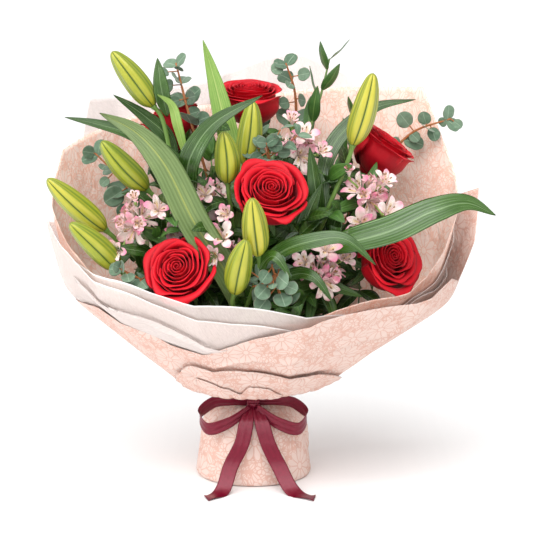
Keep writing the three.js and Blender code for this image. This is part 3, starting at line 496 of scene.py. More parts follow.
class Value:
    """A number that a shader works out from place to place."""

    def __init__(self, graph, socket):
        self.graph, self.socket = graph, socket

    def held(self):
        """No less than 0 and no more than 1."""
        return self.max(0.0).min(1.0)

    def waves(self, turns):
        """From 0 to 1 and back, so many times."""
        return (self * (turns * 2 * math.pi)).sin() * 0.5 + 0.5

    def step(self, low, high):
        """0 below low, 1 above high, smooth between."""
        node = self.graph.add("ShaderNodeMapRange", interpolation_type="SMOOTHSTEP")
        for key, value in (("Value", self), ("From Min", low), ("From Max", high)):
            self.graph.link(value, node.inputs[key])
        return Value(self.graph, node.outputs["Result"])


def give(method, operation, swapped=False):
    def work(self, *others):
        return self.graph.math(operation, *((*others, self) if swapped else (self, *others)))
    setattr(Value, method, work)


for method, operation in dict(add="ADD", sub="SUBTRACT", mul="MULTIPLY").items():
    give(f"__{method}__", operation)
    give(f"__r{method}__", operation, swapped=True)
for method, operation in dict(__truediv__="DIVIDE", __pow__="POWER", sin="SINE", cos="COSINE", abs="ABSOLUTE",
                              root="SQRT", max="MAXIMUM", min="MINIMUM").items():
    give(method, operation)


class Look:
    """A material with its nodes. u and v: across and along a blade, or millimetres on a flat sheet."""

    def __init__(self, name, **settings):
        self.material = bpy.data.materials.new(name)
        self.material.use_nodes = True
        self.tree = self.material.node_tree
        self.shader = self.tree.nodes["Principled BSDF"]
        for key, value in settings.items():
            self.link(value, self.shader.inputs[key.replace("_", " ")])
        self.u, self.v, _ = self.place("UV")
        self.tone = Value(self, self.add("ShaderNodeAttribute", attribute_name="tone").outputs["Fac"])
        self.off = (self.u - 0.5).abs() * 2.0  # 0 along the middle of a blade, 1 at its edges

    def add(self, kind, **settings):
        node = self.tree.nodes.new(kind)
        for key, value in settings.items():
            setattr(node, key, value)
        return node

    def link(self, value, socket):
        if isinstance(value, Value):
            self.tree.links.new(value.socket, socket)
        else:
            socket.default_value = (*rgb(value), 1) if isinstance(value, str) else value

    def linked(self, kind, values, **settings):
        """The first result of a node whose first inputs take the values."""
        node = self.add(kind, **settings)
        for socket, value in zip(node.inputs, values):
            self.link(value, socket)
        return Value(self, node.outputs[0])

    def math(self, operation, *values):
        return self.linked("ShaderNodeMath", values, operation=operation)

    def vector(self, x, y, z=0.0):
        return self.linked("ShaderNodeCombineXYZ", (x, y, z))

    def split(self, socket):
        node = self.add("ShaderNodeSeparateXYZ")
        self.tree.links.new(socket, node.inputs[0])
        return [Value(self, out) for out in node.outputs]

    def place(self, source):
        return self.split(self.add("ShaderNodeTexCoord").outputs[source])

    def noise(self, at, scale, detail=2.0, distortion=0.0):
        node = self.add("ShaderNodeTexNoise")
        for key, value in (("Vector", at), ("Scale", scale), ("Detail", detail), ("Distortion", distortion)):
            self.link(value, node.inputs[key])
        return Value(self, node.outputs["Fac"])

    def grain(self, across, along, drawn=0.0, scale=1.0, detail=2.0, distortion=0.0):
        """Noise over a blade, other on each where it is drawn by the tone."""
        at = self.vector(self.u * across, self.v * along, self.tone * drawn)
        return self.noise(at, scale, detail, distortion)

    def cells(self, at, scale, randomness=1.0):
        """The nearest seed's offset from here, in units of the cell, and a number drawn for it."""
        node = self.add("ShaderNodeTexVoronoi", voronoi_dimensions="2D")
        for key, value in (("Vector", at), ("Scale", scale), ("Randomness", randomness)):
            self.link(value, node.inputs[key])
        here, there = self.split(at.socket), self.split(node.outputs["Position"])
        x, y = (here[k] * scale - there[k] * scale for k in (0, 1))
        return x, y, self.split(node.outputs["Color"])[0]

    def mixed(self, share, one, other):
        """Colours: one where share is 0, the other where it is 1."""
        node = self.add("ShaderNodeMix", data_type="RGBA")
        for key, value in (("Factor", share), (6, one), (7, other)):
            self.link(value, node.inputs[key])
        return Value(self, node.outputs[2])

    def painted(self, body, *coats):
        for share, colour in coats:
            body = self.mixed(share, body, colour)
        return body

    def wrinkles(self, at):
        """Paper's small dents and creases, from 0 to 1."""
        dented = self.noise(at, 0.022, 3.0, 0.6)
        sharp = 1.0 - (self.noise(at, 0.05, 2.0, 1.2) * 2.0 - 1.0).abs()
        return dented * 0.7 + sharp * 0.3

    def done(self, colour, height, distance, rough=None):
        """height: from 0 to 1. distance: how far 1 stands out, in millimetres."""
        self.link(colour, self.shader.inputs["Base Color"])
        if rough is not None:
            self.link(rough, self.shader.inputs["Roughness"])
        node = self.add("ShaderNodeBump")
        for key, value in (("Height", height), ("Distance", distance * MM), ("Strength", 1.0)):
            self.link(value, node.inputs[key])
        self.tree.links.new(node.outputs["Normal"], self.shader.inputs["Normal"])
        return self.material


def veined_leaf(name, deep, light, midrib, veins=9, rough=0.38, bump=0.35, painted_gloss_share=0.3):
    """Lengthwise veins that run together at the tip, as on a lily's leaf, with pale streaks in the midrib
    colour as a painted highlight for the leaf's gloss.
    """
    look = Look(name, Coat_Weight=0.35, Coat_Roughness=0.32)
    stripes = look.u.waves(veins)
    fine = look.grain(60.0, 1.5, 9.0, detail=3.0)
    patches = look.grain(2.0, 5.0, 5.0, scale=1.4)
    share = (stripes * 0.25 + fine * 0.55 + patches * 0.6 + look.tone * 0.3 - 0.42).held()
    rib = 1.0 - look.off.step(0.015, 0.1)
    # painted highlight: pale streaks in the midrib colour stand in for the leaf's gloss; the same colour also
    # paints the real midrib
    painted_gloss_streaks = fine.step(0.52, 0.74) * patches.step(0.42, 0.6)
    body = look.painted(look.mixed(share, deep, light), (painted_gloss_streaks * painted_gloss_share, midrib), (rib * 0.6, midrib))
    return look.done(body, stripes * 0.5 + fine * 0.35 - rib * 0.6, bump, rough - 0.1 + fine * 0.2)


def netted_leaf(name, deep, light, rib_colour, rough):
    """Side veins that slant forward from the midrib, as on a rose's leaf."""
    look = Look(name)
    veins = (look.v - look.off * 0.16).waves(7.0) ** 7.0
    rib = 1.0 - look.off.step(0.01, 0.09)
    mottled = look.grain(3.0, 4.0, 7.0, scale=1.6, detail=4.0)
    share = (mottled * 0.9 + look.tone * 0.5 - 0.35 + veins * 0.12).held()
    body = look.painted(look.mixed(share, deep, light), ((rib * 0.75 + veins * 0.22).min(1.0), rib_colour))
    return look.done(body, mottled * 0.3 - rib * 0.5 - veins * 0.4 + 0.5, 0.3, rough - 0.08 + mottled * 0.16)


def matte_leaf(name, deep, light, edge):
    """Eucalyptus: grey-green with a waxy bloom, a pale midrib and a thin reddish edge."""
    look = Look(name, Specular_IOR_Level=0.35, Sheen_Weight=0.25)
    bloom = look.grain(3.0, 3.0, 9.0, scale=1.6, detail=4.0)
    veins = look.noise(look.vector(look.off * 9.0 - look.v * 12.0, look.v * 2.0, look.tone * 7.0), 1.0)
    body = look.painted(look.mixed((bloom * 0.8 + look.tone * 0.5 - 0.3).held(), deep, light),
                        ((1.0 - look.off.step(0.01, 0.08)) * 0.5, "a9bda4"),
                        (look.off.step(0.9, 1.0) * 0.5, edge))
    return look.done(body, veins * 0.5 + bloom * 0.3, 0.2, 0.55 + bloom * 0.2)


def stem_look(name, deep, light, rough=0.45):
    look = Look(name)
    streaks = look.grain(14.0, 3.0, 6.0, detail=3.0)
    return look.done(look.mixed(streaks, deep, light), streaks, 0.25, rough)


def petal_look():
    """Rose petals: painted shade, darker towards the foot where it lies deep in the bloom, with random darker
    clouds, faint lengthwise veins and a velvet sheen.
    """
    look = Look("rose_petal", Sheen_Weight=0.16, Sheen_Roughness=0.45, Sheen_Tint=(1, 0.25, 0.3, 1),
                Specular_IOR_Level=0.25)
    veins = look.grain(34.0, 2.5, 8.0, detail=3.0)
    clouds = look.grain(3.0, 3.0, 5.0, scale=1.3)
    # painted shade: the colour runs from dark at the petal's foot, deep in the bloom, to light at its rim
    height = look.v ** 1.4 * 0.75 + clouds * 0.35 - 0.1 + (look.tone - 0.5) * 0.3
    rim = look.v.step(0.94, 1.0) * look.grain(9.0, 3.0, 7.0).step(0.4, 0.62)
    body = look.painted(look.mixed(height.held(), "8a0214", "e20b22"), (rim * 0.55, "74091a"))
    return look.done(body, veins * 0.6 + clouds * 0.4, 0.3, 0.42 + veins * 0.16)


def bud_look():
    """Lily buds: lime between dark seams, deeper green at the foot and the tip."""
    look = Look("lily_bud", Specular_IOR_Level=0.5, Coat_Weight=0.15, Coat_Roughness=0.3)
    streaks = look.grain(46.0, 1.6, 9.0, detail=3.0)
    clouds = look.grain(4.0, 3.0, 4.0, scale=1.2)
    seam = (look.u * (3 * math.pi)).sin().abs()
    rib = (look.u * (3 * math.pi)).cos().abs()
    lines = ((look.u * (18 * math.pi)).cos() * 0.5 + 0.5) ** 4.0
    ends = (1.0 - look.v.step(0.0, 0.14)).max(look.v.step(0.86, 1.0) * 0.7)
    yellow = (clouds * 0.8 + streaks * 0.5 - 0.2 + (look.tone - 0.5) * 0.5).held()
    body = look.painted(look.mixed(yellow, "8a981c", "d2c448"),
                        ((lines * (clouds * 0.8 + 0.3)).min(1.0), "58781a"),
                        ((1.0 - rib.step(0.05, 0.4)) * 0.75, "4d741a"), (ends * 0.75, "4d6b22"),
                        ((1.0 - seam.step(0.02, 0.12)) * 0.9, "2f4b14"))
    return look.done(body, streaks * 0.5 + seam.step(0.0, 0.2) * 0.5, 0.5, 0.3 + streaks * 0.14)


def tepal_look(inner):
    """Alstroemeria tepals: blush with pinker tips, the inner ones yellow below and flecked with brown."""
    look = Look("alstroemeria_inner_tepal" if inner else "alstroemeria_tepal", Roughness=0.5)
    u, v = look.u, look.v
    veins = look.grain(22.0, 1.5, 9.0)
    flush = (v.step(0.45, 1.0) * 0.8 + veins * 0.6 - 0.3 + (look.tone - 0.5) * 0.8).held()
    body = look.mixed(flush, "fdeee6", "ea86a8")
    middle = 1.0 - look.off.step(0.05, 0.6)
    if inner:
        throat = middle * (1.0 - v.step(0.45, 0.75)) * v.step(0.1, 0.3)
        x, y, _ = look.cells(look.vector(u, v * 0.55), 13.0)
        fleck = 1.0 - (x * x * 3.0 + y * y * 0.6).root().step(0.12, 0.2)
        flecked = fleck * v.step(0.3, 0.42) * (1.0 - v.step(0.82, 0.9))
        return look.done(look.painted(body, (throat * 0.7, "f3d87a"), (flecked, "8c3a34")), veins, 0.2)
    tip, flame = v.step(0.86, 0.98) * middle, middle * v.step(0.3, 0.9)
    return look.done(look.painted(body, (tip * 0.7, "8fae5c"), (flame * 0.25, "e58aa6")), veins, 0.2)


def daisy(look, x, y, drawn, size, petals):
    """How far inside a printed daisy's outline, and inside its pale parts, a place lies, in millimetres."""
    lobe = ((look.math("ARCTAN2", y, x) + drawn * (2 * math.pi)) * (petals / 2)).cos().abs()
    out = (x * x + y * y).root()
    outline = (lobe ** 0.8 * 0.45 + 0.55) * size - out
    between = out * lobe * (2 / petals) - PRINT_LINE / 2
    ring = (out - 0.2 * size).abs() - PRINT_LINE / 2
    petal = between.max(0.2 * size - out)
    return outline, outline.min(petal).min(ring)


def printed_leaf(look, x, y, drawn, size, slim):
    """The same for a printed leaf, pointed at both ends, with a line along its middle."""
    turn = drawn * (2 * math.pi)
    across, along = x * turn.cos() - y * turn.sin(), x * turn.sin() + y * turn.cos()
    reach = (1.0 - (along * along) / (size * size)).max(0.0)
    outline = reach * (size / slim) - across.abs()
    return outline, outline.min(across.abs() - PRINT_LINE / 3)


PRINT_LINE = 0.7  # width of the ground between two printed shapes, in millimetres
# The print, from the top down: the shape, its spacing and its size in millimetres, petals or slimness.
PRINT = [(daisy, 47, 20.0, 11), (daisy, 24, 7.5, 7), (printed_leaf, 17, 8.5, 2.4),
         (printed_leaf, 10, 4.6, 1.8), (printed_leaf, 5.6, 2.4, 1.2)]
CRUMPLED = 2.6  # how far the paper's small dents stand out


def printed_look(name, low, high, pale_low, pale_high):
    """Peach paper printed with pale daisies and leaves, kept apart by fine lines of the ground."""
    look = Look(name, Specular_IOR_Level=0.25, Roughness=0.7)
    place = look.vector(look.u, look.v)
    fibre, drift = look.noise(place, 1.4, 4.0), look.noise(place, 0.015)
    shown = covered = None
    for shape, spacing, size, detail in PRINT:
        x, y, drawn = look.cells(place, 1 / spacing, 0.75)
        outline, inside = shape(look, x * spacing, y * spacing, drawn, size, detail)
        if shown is None:
            shown, covered = inside, outline
        else:
            shown = shown.max(inside.min(0.0 - covered - PRINT_LINE))
            covered = covered.max(outline)
    ground = look.mixed((drift * 0.6 + fibre * 0.3).min(1.0), low, high)
    pale = look.mixed(fibre * 0.6, pale_low, pale_high)
    body = look.mixed(shown.step(0.0, 0.4) * 0.85, ground, pale)
    return look.done(body, look.wrinkles(place) + fibre * 0.04, CRUMPLED)


SHEER_ALPHA = 0.5  # of each of a sheet's two faces


def sheer_look():
    """Frosted sheer wrap, pressed from long fibres, with a painted highlight along its rim."""
    look = Look("sheer_wrap", Roughness=0.55, Specular_IOR_Level=0.3)
    place = look.vector(look.u, look.v)
    fibre = look.grain(0.9, 0.12, detail=5.0, distortion=1.5)
    cloud = look.noise(place, 0.03, 3.0)
    body = look.mixed((fibre * 0.6 + cloud * 0.5 - 0.1).min(1.0), "efdfd8", "f8eeea")
    # painted highlight: where the tone is 1, on a sheet's last row, the sheer is made more opaque and mixed
    # towards white, a bright line along its rim
    look.link(fibre * 0.25 + (SHEER_ALPHA - 0.12) + look.tone * 0.35, look.shader.inputs["Alpha"])
    body = look.mixed(look.tone * 0.8, body, "ffffff")
    return look.done(body, look.wrinkles(place) + fibre * 0.06, CRUMPLED)


def satin_look():
    """Burgundy satin, with its weave along the ribbon and a pink gloss."""
    look = Look("satin", Metallic=0.2, Specular_IOR_Level=0.4, Coat_Weight=0.22, Coat_Roughness=0.2,
                Coat_Tint="f0a0b4")
    threads, folds = look.grain(220.0, 12.0), look.grain(5.0, 9.0)
    body = look.mixed((folds * 0.8 + threads * 0.3 - 0.1).held(), "5e021e", "820a30")
    return look.done(body, threads, 0.06, 0.28 + threads * 0.12)


def twine_look():
    look = Look("twine", Roughness=0.85)
    strand = (look.v * 150.0 + look.u * 3.0).waves(1)
    fuzz = look.grain(10.0, 400.0, detail=4.0)
    return look.done(look.mixed((strand * 0.6 + fuzz * 0.4).min(1.0), "8f7447", "cdb07c"), strand, 0.5)


LILY_LEAVES = [veined_leaf("lily_leaf_dark", "1a380c", "466e20", "829e6c", rough=0.26, painted_gloss_share=0.7),
               veined_leaf("lily_leaf_pale", "4c6428", "80965c", "a0a850", rough=0.5, bump=0.6),
               veined_leaf("lily_leaf_bright", "6c983c", "a9c464", "c3d480")]
LILY_STEM = stem_look("lily_stem", "4f7a34", "80a04a")
ROSE_LEAF = netted_leaf("rose_leaf", "16300b", "42681c", "658848", rough=0.34)
SEPAL = netted_leaf("sepal", "3a5c2b", "587c3c", "7c9a5a", rough=0.5)
ROSE_STEM = stem_look("rose_stem", "2c4d24", "4c6e36")
PETAL = petal_look()
BUD = bud_look()
TEPALS = [tepal_look(False), tepal_look(True)]
FLORET_GREEN = stem_look("floret_green", "6f9342", "9ab560")
ANTHER = stem_look("anther", "7d5a3c", "a88658", rough=0.8)
ALSTROEMERIA_LEAF = veined_leaf("alstroemeria_leaf", "28501a", "527c2e", "6c9848", veins=5, rough=0.36)
ALSTROEMERIA_STEM = stem_look("alstroemeria_stem", "3d6a2f", "628b43")
EUCALYPTUS_LEAF = matte_leaf("eucalyptus_leaf", "48644c", "87a086", "a08874")
EUCALYPTUS_STEM = stem_look("eucalyptus_stem", "8f4c26", "c07c4a", rough=0.6)
RUSCUS_LEAF = veined_leaf("ruscus_leaf", "2c5522", "55823a", "86a85c", veins=7, rough=0.36)
RUSCUS_STEM = stem_look("ruscus_stem", "56743a", "7c9852")
SATIN = satin_look()
TWINE = twine_look()
SHEER = sheer_look()
# Each sheet's material and the name of its slot.
PAPERS = {"printed": (printed_look("printed_paper", "d1a595", "d7b2a5", "e2cec5", "dcc3b9"), "printed_paper"),
          # painted light: the two printed sheets are one paper; this inner copy is coloured lighter than the
          # outer one to stand in for more light falling inside the wrap
          "printed_inner": (printed_look("printed_paper_painted_lighter", "f6c2ac", "fad2c0", "ffeadf", "fde0d3"),
                            "printed_paper"),
          "sheer": (SHEER, "sheer_wrap")}

# ------------------------------------------------------------------ paper
FOOT_RADIUS = 65.0
SKIRT_TOP = (55.0, 71.0)
NECK_RADIUS, NECK_HEIGHTS = 34.0, (84.0, 98.0)
FOLD = (73.0, 104.0)
BENDS_AT = (80.0, 170.0)
OPENING = dict(front=(42, 38, 30), left=(49, 49, 11), right=(52, 52, 14), back=(22, 10, 4))
PAPER, SHEET_SKIN = 0.7, 0.3
INWARD_MOST, OUTWARD_MOST = 6.8, 5.6  # how far the folds may move the paper
# The print's run: its radius round the skirt, then where its fan starts at the neck and how wide it opens.
SKIRT_PRINT, FAN_START, FAN_SHARE = 60, 108, 0.7
BAND_HEIGHT = 92.0
COLUMNS = 288
LOWER_ROWS, FLARE_STEPS, FLARE_ROWS, LAP_ROWS = 64, 240, 56, 14
# Azimuths of the columns, from the back round to the back, and the same within half a turn of +X.
TURNS = np.radians(np.arange(COLUMNS + 1) * 360 / COLUMNS - 270)
FULL_TURN = np.radians((np.arange(COLUMNS) * 360 / COLUMNS - 270 + 180) % 360 - 180)


def opening(azimuth, distance, sheet):
    """How far the flare opens from upright, in degrees, easing from one stretch to the next."""
    ends = vec([OPENING["front"], OPENING["back"]])[np.where(np.sin(azimuth) > 0, 1, 0)].T
    sides = vec([OPENING["left"], OPENING["right"]])[np.where(np.cos(azimuth) > 0, 1, 0)].T
    further = sheet["flap"][1] * np.maximum(0, np.cos(azimuth - math.radians(sheet["flap"][0]))) ** 2
    angles = sides + (ends - sides) * np.abs(np.sin(azimuth)) + sheet["lean"] + further
    ease = [1 / (1 + np.exp(-(distance - bend) / 7.0)) for bend in BENDS_AT]
    return angles[0] + (angles[1] - angles[0]) * ease[0] + (angles[2] - angles[1]) * ease[1]


def round_turn(degrees, points):
    """Values given at some azimuths, in order, between them and past the back."""
    turns, values = zip(*points)
    return np.interp(degrees, [turns[-1] - 360, *turns, turns[0] + 360], [values[-1], *values, values[0]])


def corner_cut(points, cuts, steps=6):
    """A polyline with each inner corner replaced by an arc that starts its cut before it."""
    out = [points[0]]
    for before, corner, after, cut in zip(points, points[1:], points[2:], cuts):
        a, b = corner + unit(before - corner) * cut, corner + unit(after - corner) * cut
        out += [a * (1 - t) ** 2 + corner * 2 * t * (1 - t) + b * t ** 2 for t in np.linspace(0, 1, steps)]
    return out + [points[-1]]


def resampled(points, count):
    points = np.array(points)
    run = np.concatenate([[0], np.cumsum(np.linalg.norm(np.diff(points, axis=0), axis=1))])
    at = np.linspace(0, run[-1], count)
    return np.stack([np.interp(at, run, points[:, k]) for k in (0, 1)], 1)


def sheet_profiles(sheet, depth):
    """Rows x columns from under the stems: (radius, height), the way inward, the distance up the flare."""
    lower = [vec(p) for p in ((1.0, 0), (FOOT_RADIUS, 0), SKIRT_TOP, (NECK_RADIUS, NECK_HEIGHTS[0]),
                              (NECK_RADIUS, NECK_HEIGHTS[1]), FOLD)]
    lower = resampled(corner_cut(lower, (6, 14, 6, 6)), LOWER_ROWS)
    edge = round_turn(np.degrees(FULL_TURN), sheet["rim"])
    fine = np.linspace(0, 1, FLARE_STEPS)[:, None] * edge
    level = math.radians(86)
    angle = level + (np.radians(opening(FULL_TURN, fine, sheet)) - level) * np.clip(fine / 14.0, 0, 1)
    step = edge / (FLARE_STEPS - 1)
    start = np.zeros((1, COLUMNS))
    flare = [at + np.concatenate([start, np.cumsum(wave(angle[:-1]) * step, 0)])
             for at, wave in zip(FOLD, (np.sin, np.cos))]
    rows = np.linspace(0, FLARE_STEPS - 1, FLARE_ROWS).round().astype(int)[1:]
    flat = np.broadcast_to(lower[:, None, :], (LOWER_ROWS, COLUMNS, 2))
    profile = np.concatenate([flat, np.stack(flare, 2)[rows]])
    along = unit(np.gradient(profile, axis=0))
    inward = np.stack([-along[..., 1], along[..., 0]], 2)
    distance = np.concatenate([np.full((LOWER_ROWS, COLUMNS), -1.0), fine[rows]])
    return profile + inward * depth, inward, distance


# Azimuths of the folds that the paper is flat between, and how far each stands out.
FOLDS = [(-176, 2.2), (-159, -2.4), (-143, 2.6), (-124, -1.8), (-109, 2.4), (-92, -2.2), (-71, 2.6),
         (-52, -2.4), (-33, 2.0), (-15, -2.6), (8, 2.4), (27, -2.4), (52, 2.0), (75, -2.6), (101, 2.2),
         (124, -2.0), (147, 2.6), (165, -2.2)]
# Folds across the flare: azimuth and distance up it at each turn, width and depth.
CREASES = [([(-152, 198), (-139, 158), (-125, 120), (-103, 92)], 4.0, 4.0),
           ([(-134, 150), (-127, 134), (-113, 108), (-104, 98)], 5.0, -4.5),
           ([(-112, 44), (-92, 54), (-60, 47), (-34, 56)], 3.0, -4.4),
           ([(-140, 60), (-120, 34), (-104, 18)], 2.4, -2.6),
           ([(-78, 70), (-52, 92), (-28, 132)], 3.0, -3.0), ([(-112, 66), (-90, 78), (-66, 74)], 3.0, 2.6),
           ([(-60, 96), (-35, 128), (-20, 168)], 4.0, 2.6),
           ([(-172, 96), (-150, 60), (-128, 50)], 4.0, 3.0),
           ([(20, 150), (60, 110), (100, 160)], 5.0, 3.0),
           ([(100, 160), (140, 120), (170, 190)], 5.0, -3.0)]
SHORT_CREASES, LONG_CREASES, SKIRT_CREASES = 18, 7, 34  # further ones, placed by the dice
# Folded layers on a sheet: azimuth and the distances up the flare of the lower and the upper edge, then how
# far these stand off.
LAPS = {
    "wrap_printed_outer": [
        ([(-152, 6, 12), (-138, 6, 46), (-122, 6, 68), (-106, 6, 66), (-90, 6, 62), (-60, 6, 53),
          (-36, 6, 48), (-12, 6, 22), (0, 6, 9)], 1.1, 3.9),
        ([(-134, 6, 9), (-124, 6, 44), (-112, 6, 37), (-98, 6, 19), (-92, 6, 34), (-80, 6, 30), (-64, 6, 9)],
         2.6, 3.8)],
    "wrap_sheer_outer": [
        ([(-160, 186, 192), (-148, 140, 182), (-134, 104, 150), (-118, 88, 118), (-104, 84, 98),
          (-94, 88, 91)], 0.8, 4.2)],
}


def facets(degrees, radius):
    """Flat stretches of paper between sharp upright folds."""
    turns = vec([FOLDS[-1][0] - 360, *(turn for turn, _ in FOLDS), FOLDS[0][0] + 360])
    k = np.clip(np.searchsorted(turns, degrees) - 1, 0, len(turns) - 2)
    half = np.radians(turns[k + 1] - turns[k]) / 2
    off = np.radians(degrees - turns[k]) - half
    return round_turn(degrees, FOLDS) - radius * (1 - np.cos(half) / np.cos(off))


def crease(azimuths, at, width, depth):
    """A sharp fold that runs up the paper."""
    off = np.degrees((azimuths - math.radians(at) + math.pi) % (2 * math.pi) - math.pi)
    return depth * (np.exp(-np.abs(off) / width) - 0.4 * np.exp(-(off / (2.5 * width)) ** 2))


def crumple(height, distance, edge):
    """How far the paper stands out of its smooth shape: gathers at the tie, folds above and below it."""
    dice = np.random.default_rng(77)
    azimuths, degrees = FULL_TURN, np.degrees(FULL_TURN)
    above = np.clip(distance / 60, 0, 1)
    rise = np.clip(distance, 0, None)
    below = np.clip((NECK_HEIGHTS[0] - height) / 60, 0, 1) * (distance < 0)
    neck = np.exp(-np.abs(height - TIE_HEIGHT) / 16) * (distance < 60)
    out = 1.6 * neck * np.abs(np.sin(22 * azimuths + 1.5 * np.sin(5 * azimuths))) ** 0.7
    out = out + above * 0.85 * facets(degrees + np.zeros_like(rise), 60 + 0.55 * rise)
    for path, width, depth in CREASES:
        turns, reaches = zip(*path)
        inside = np.clip(np.minimum(degrees - turns[0], turns[-1] - degrees) / 8, 0, 1)
        off = np.abs(rise - np.interp(degrees, turns, reaches))
        out = out + depth * inside * above * (np.exp(-off / width) - 0.3 * np.exp(-(off / (3 * width)) ** 2))
    for _ in range(SHORT_CREASES):
        at, width, depth = dice.uniform(-180, 180), dice.uniform(1.6, 4), dice.uniform(-3.4, 3.4)
        drift = np.radians(dice.uniform(-14, 14))
        fading = np.exp(-rise / dice.uniform(25, 70)) * np.clip(distance / 12, 0, 1)
        out = out + fading * crease(azimuths - drift * rise / 100, at, width, depth)
    for _ in range(LONG_CREASES):
        at, width, depth = dice.uniform(-180, 180), dice.uniform(2.0, 5), dice.uniform(-1.6, 1.8)
        drift = np.radians(dice.uniform(-16, 16))
        out = out + above * crease(azimuths - drift * rise / 200, at, width, depth)
    skirt = np.sin(math.pi * np.clip(below * 1.05, 0, 1)) ** 0.6
    for _ in range(SKIRT_CREASES):
        at, width, depth = dice.uniform(-180, 180), dice.uniform(1.8, 5), dice.uniform(-4.2, 4.2)
        out = out + skirt * crease(azimuths - np.radians(dice.uniform(-16, 16)) * below, at, width, depth)
    near_rim = np.clip(1 - (edge - rise) / 22, 0, 1) * (distance > 0)
    out = out + near_rim ** 2 * (0.5 * np.sin(9 * azimuths + 1.0) + 0.3 * np.sin(17 * azimuths))
    return np.clip(1.3 * out, -INWARD_MOST, OUTWARD_MOST)


def lap(piece, path, near, far, profile, inward, distance):
    """A folded layer over a sheet's flare, whose upper edge stands off more than its lower one."""
    turns, lows, highs = zip(*path)
    degrees = np.degrees(FULL_TURN)
    columns = np.flatnonzero((degrees > turns[0]) & (degrees < turns[-1]))
    share = np.linspace(0, 1, LAP_ROWS)
    points, uv = [], []
    for c in columns[np.argsort(degrees[columns])]:
        low, high = np.interp(degrees[c], turns, lows), np.interp(degrees[c], turns, highs)
        at = low + (high - low) * share
        ease = min(1, (degrees[c] - turns[0]) / 10, (turns[-1] - degrees[c]) / 10)
        off = near * ease + 0.25 + (far - near) * ease * share ** 1.6
        over = (profile[LOWER_ROWS:, c], inward[LOWER_ROWS:, c])
        (radius, height), (out, up) = ([np.interp(at, distance[LOWER_ROWS:, c], part[:, k]) for k in (0, 1)]
                                       for part in over)
        radius, height = radius - out * off, height - up * off
        turn = math.radians(degrees[c])
        points.append(np.stack([radius * math.cos(turn), radius * math.sin(turn), height], 1))
        fan = 0.55 * turn + 1.1  # so that its print doesn't go on from the sheet's
        reach = at + 180
        uv.append(np.stack([reach * math.cos(fan), reach * math.sin(fan)], 1))
    piece.skin(np.stack(points, 1), 0.3, tone=0.15, uv=np.stack(uv, 1))


def wrap(sheet, layer, material, slot):
    depth = layer * SHEET_STEP + PAPER / 2
    profile, inward, distance = sheet_profiles(sheet, depth)
    height = profile[..., 1]
    pushed = crumple(height, distance, round_turn(np.degrees(FULL_TURN), sheet["rim"]))
    profile = profile - inward * (pushed * np.clip(height / 10, 0, 1) * (height > 0))[..., None]
    radius, height = profile[..., 0], np.maximum(profile[..., 1], depth)
    points = np.stack([radius * np.cos(TURNS[:-1]), radius * np.sin(TURNS[:-1]), height], 2)

    # The print runs round the skirt, and fans out over the flare.
    closed = np.concatenate([profile, profile[:, :1]], 1)
    steps = np.linalg.norm(np.diff(closed, axis=0), axis=2)
    run = np.concatenate([np.zeros((1, COLUMNS + 1)), np.cumsum(steps, 0)])
    off_band = np.abs(closed[:LOWER_ROWS, 0, 1] - BAND_HEIGHT)
    neck_row = int(np.argmin(off_band + 1e3 * (closed[:LOWER_ROWS, 0, 0] > 40)))
    upper = run - run[neck_row] + FAN_START
    polar = np.stack([upper * np.cos(FAN_SHARE * TURNS), upper * np.sin(FAN_SHARE * TURNS)], 2)
    skirt = np.stack([TURNS * SKIRT_PRINT + np.zeros_like(run), run], 2)
    uv = np.where((np.arange(len(run)) > neck_row)[:, None, None], polar, skirt)

    piece = Piece(sheet["name"] + "_paper")
    rows = len(profile)
    normal = normals(np.roll(points, -1, 1) - np.roll(points, 1, 1), np.gradient(points, axis=0))
    # painted rim highlight: tone 1 on the last row, which the sheer material paints whiter and more opaque
    painted_rim_highlight = np.zeros((rows, 1))
    painted_rim_highlight[-1] = 1
    outer = piece.grid(points + normal * SHEET_SKIN / 2, 0, painted_rim_highlight, uv)
    inner = piece.grid(points - normal * SHEET_SKIN / 2, 0, painted_rim_highlight, uv, flip=True)
    piece.quads(lambda r, c: np.where(r == 0, outer, inner) + (rows - 1) * COLUMNS + c % COLUMNS,
                2, COLUMNS + 1, uv[-2:], 0)
    ring = np.arange(COLUMNS)
    piece.caps = [(ring[::-1] + outer, 0), (ring + inner, 0)]
    for path, near, far in LAPS.get(sheet["name"], ()):
        lap(piece, path, near, far, profile, inward, distance)
    made = piece.stand_for(sheet["name"], slot, material)


# ------------------------------------------------------------------ foliage that fills the bunch
# Room that the heads need: the centre and the radius of each ball.
BALLS = [(*(vec(rose["at"]) + direction(*rose["aim"]) * 27), rose["radius"] + 1) for rose in ROSES]
BALLS += [(*(vec(plant["at"]) + direction(*plant["aim"]) * 15), 23) for plant in ALSTROEMERIAS]
BALLS += [(*(vec(base) * (1 - t) + vec(tip) * t), 15) for lily in LILIES for base, tip in lily["buds"]
          for t in (0.1, 0.35, 0.6, 0.85)]
BALLS = np.array(BALLS)
BUNCH_CENTRE, BUNCH_SIZE = vec((8, -32, 252)), vec((158, 128, 158))
WALL = sheet_profiles(SHEETS[-1], len(SHEETS) * SHEET_STEP)[0]
WALL_TOP = 380
FROM_WALL, FROM_AXIS = 9, 20
SHOOT_LEAVES = 7


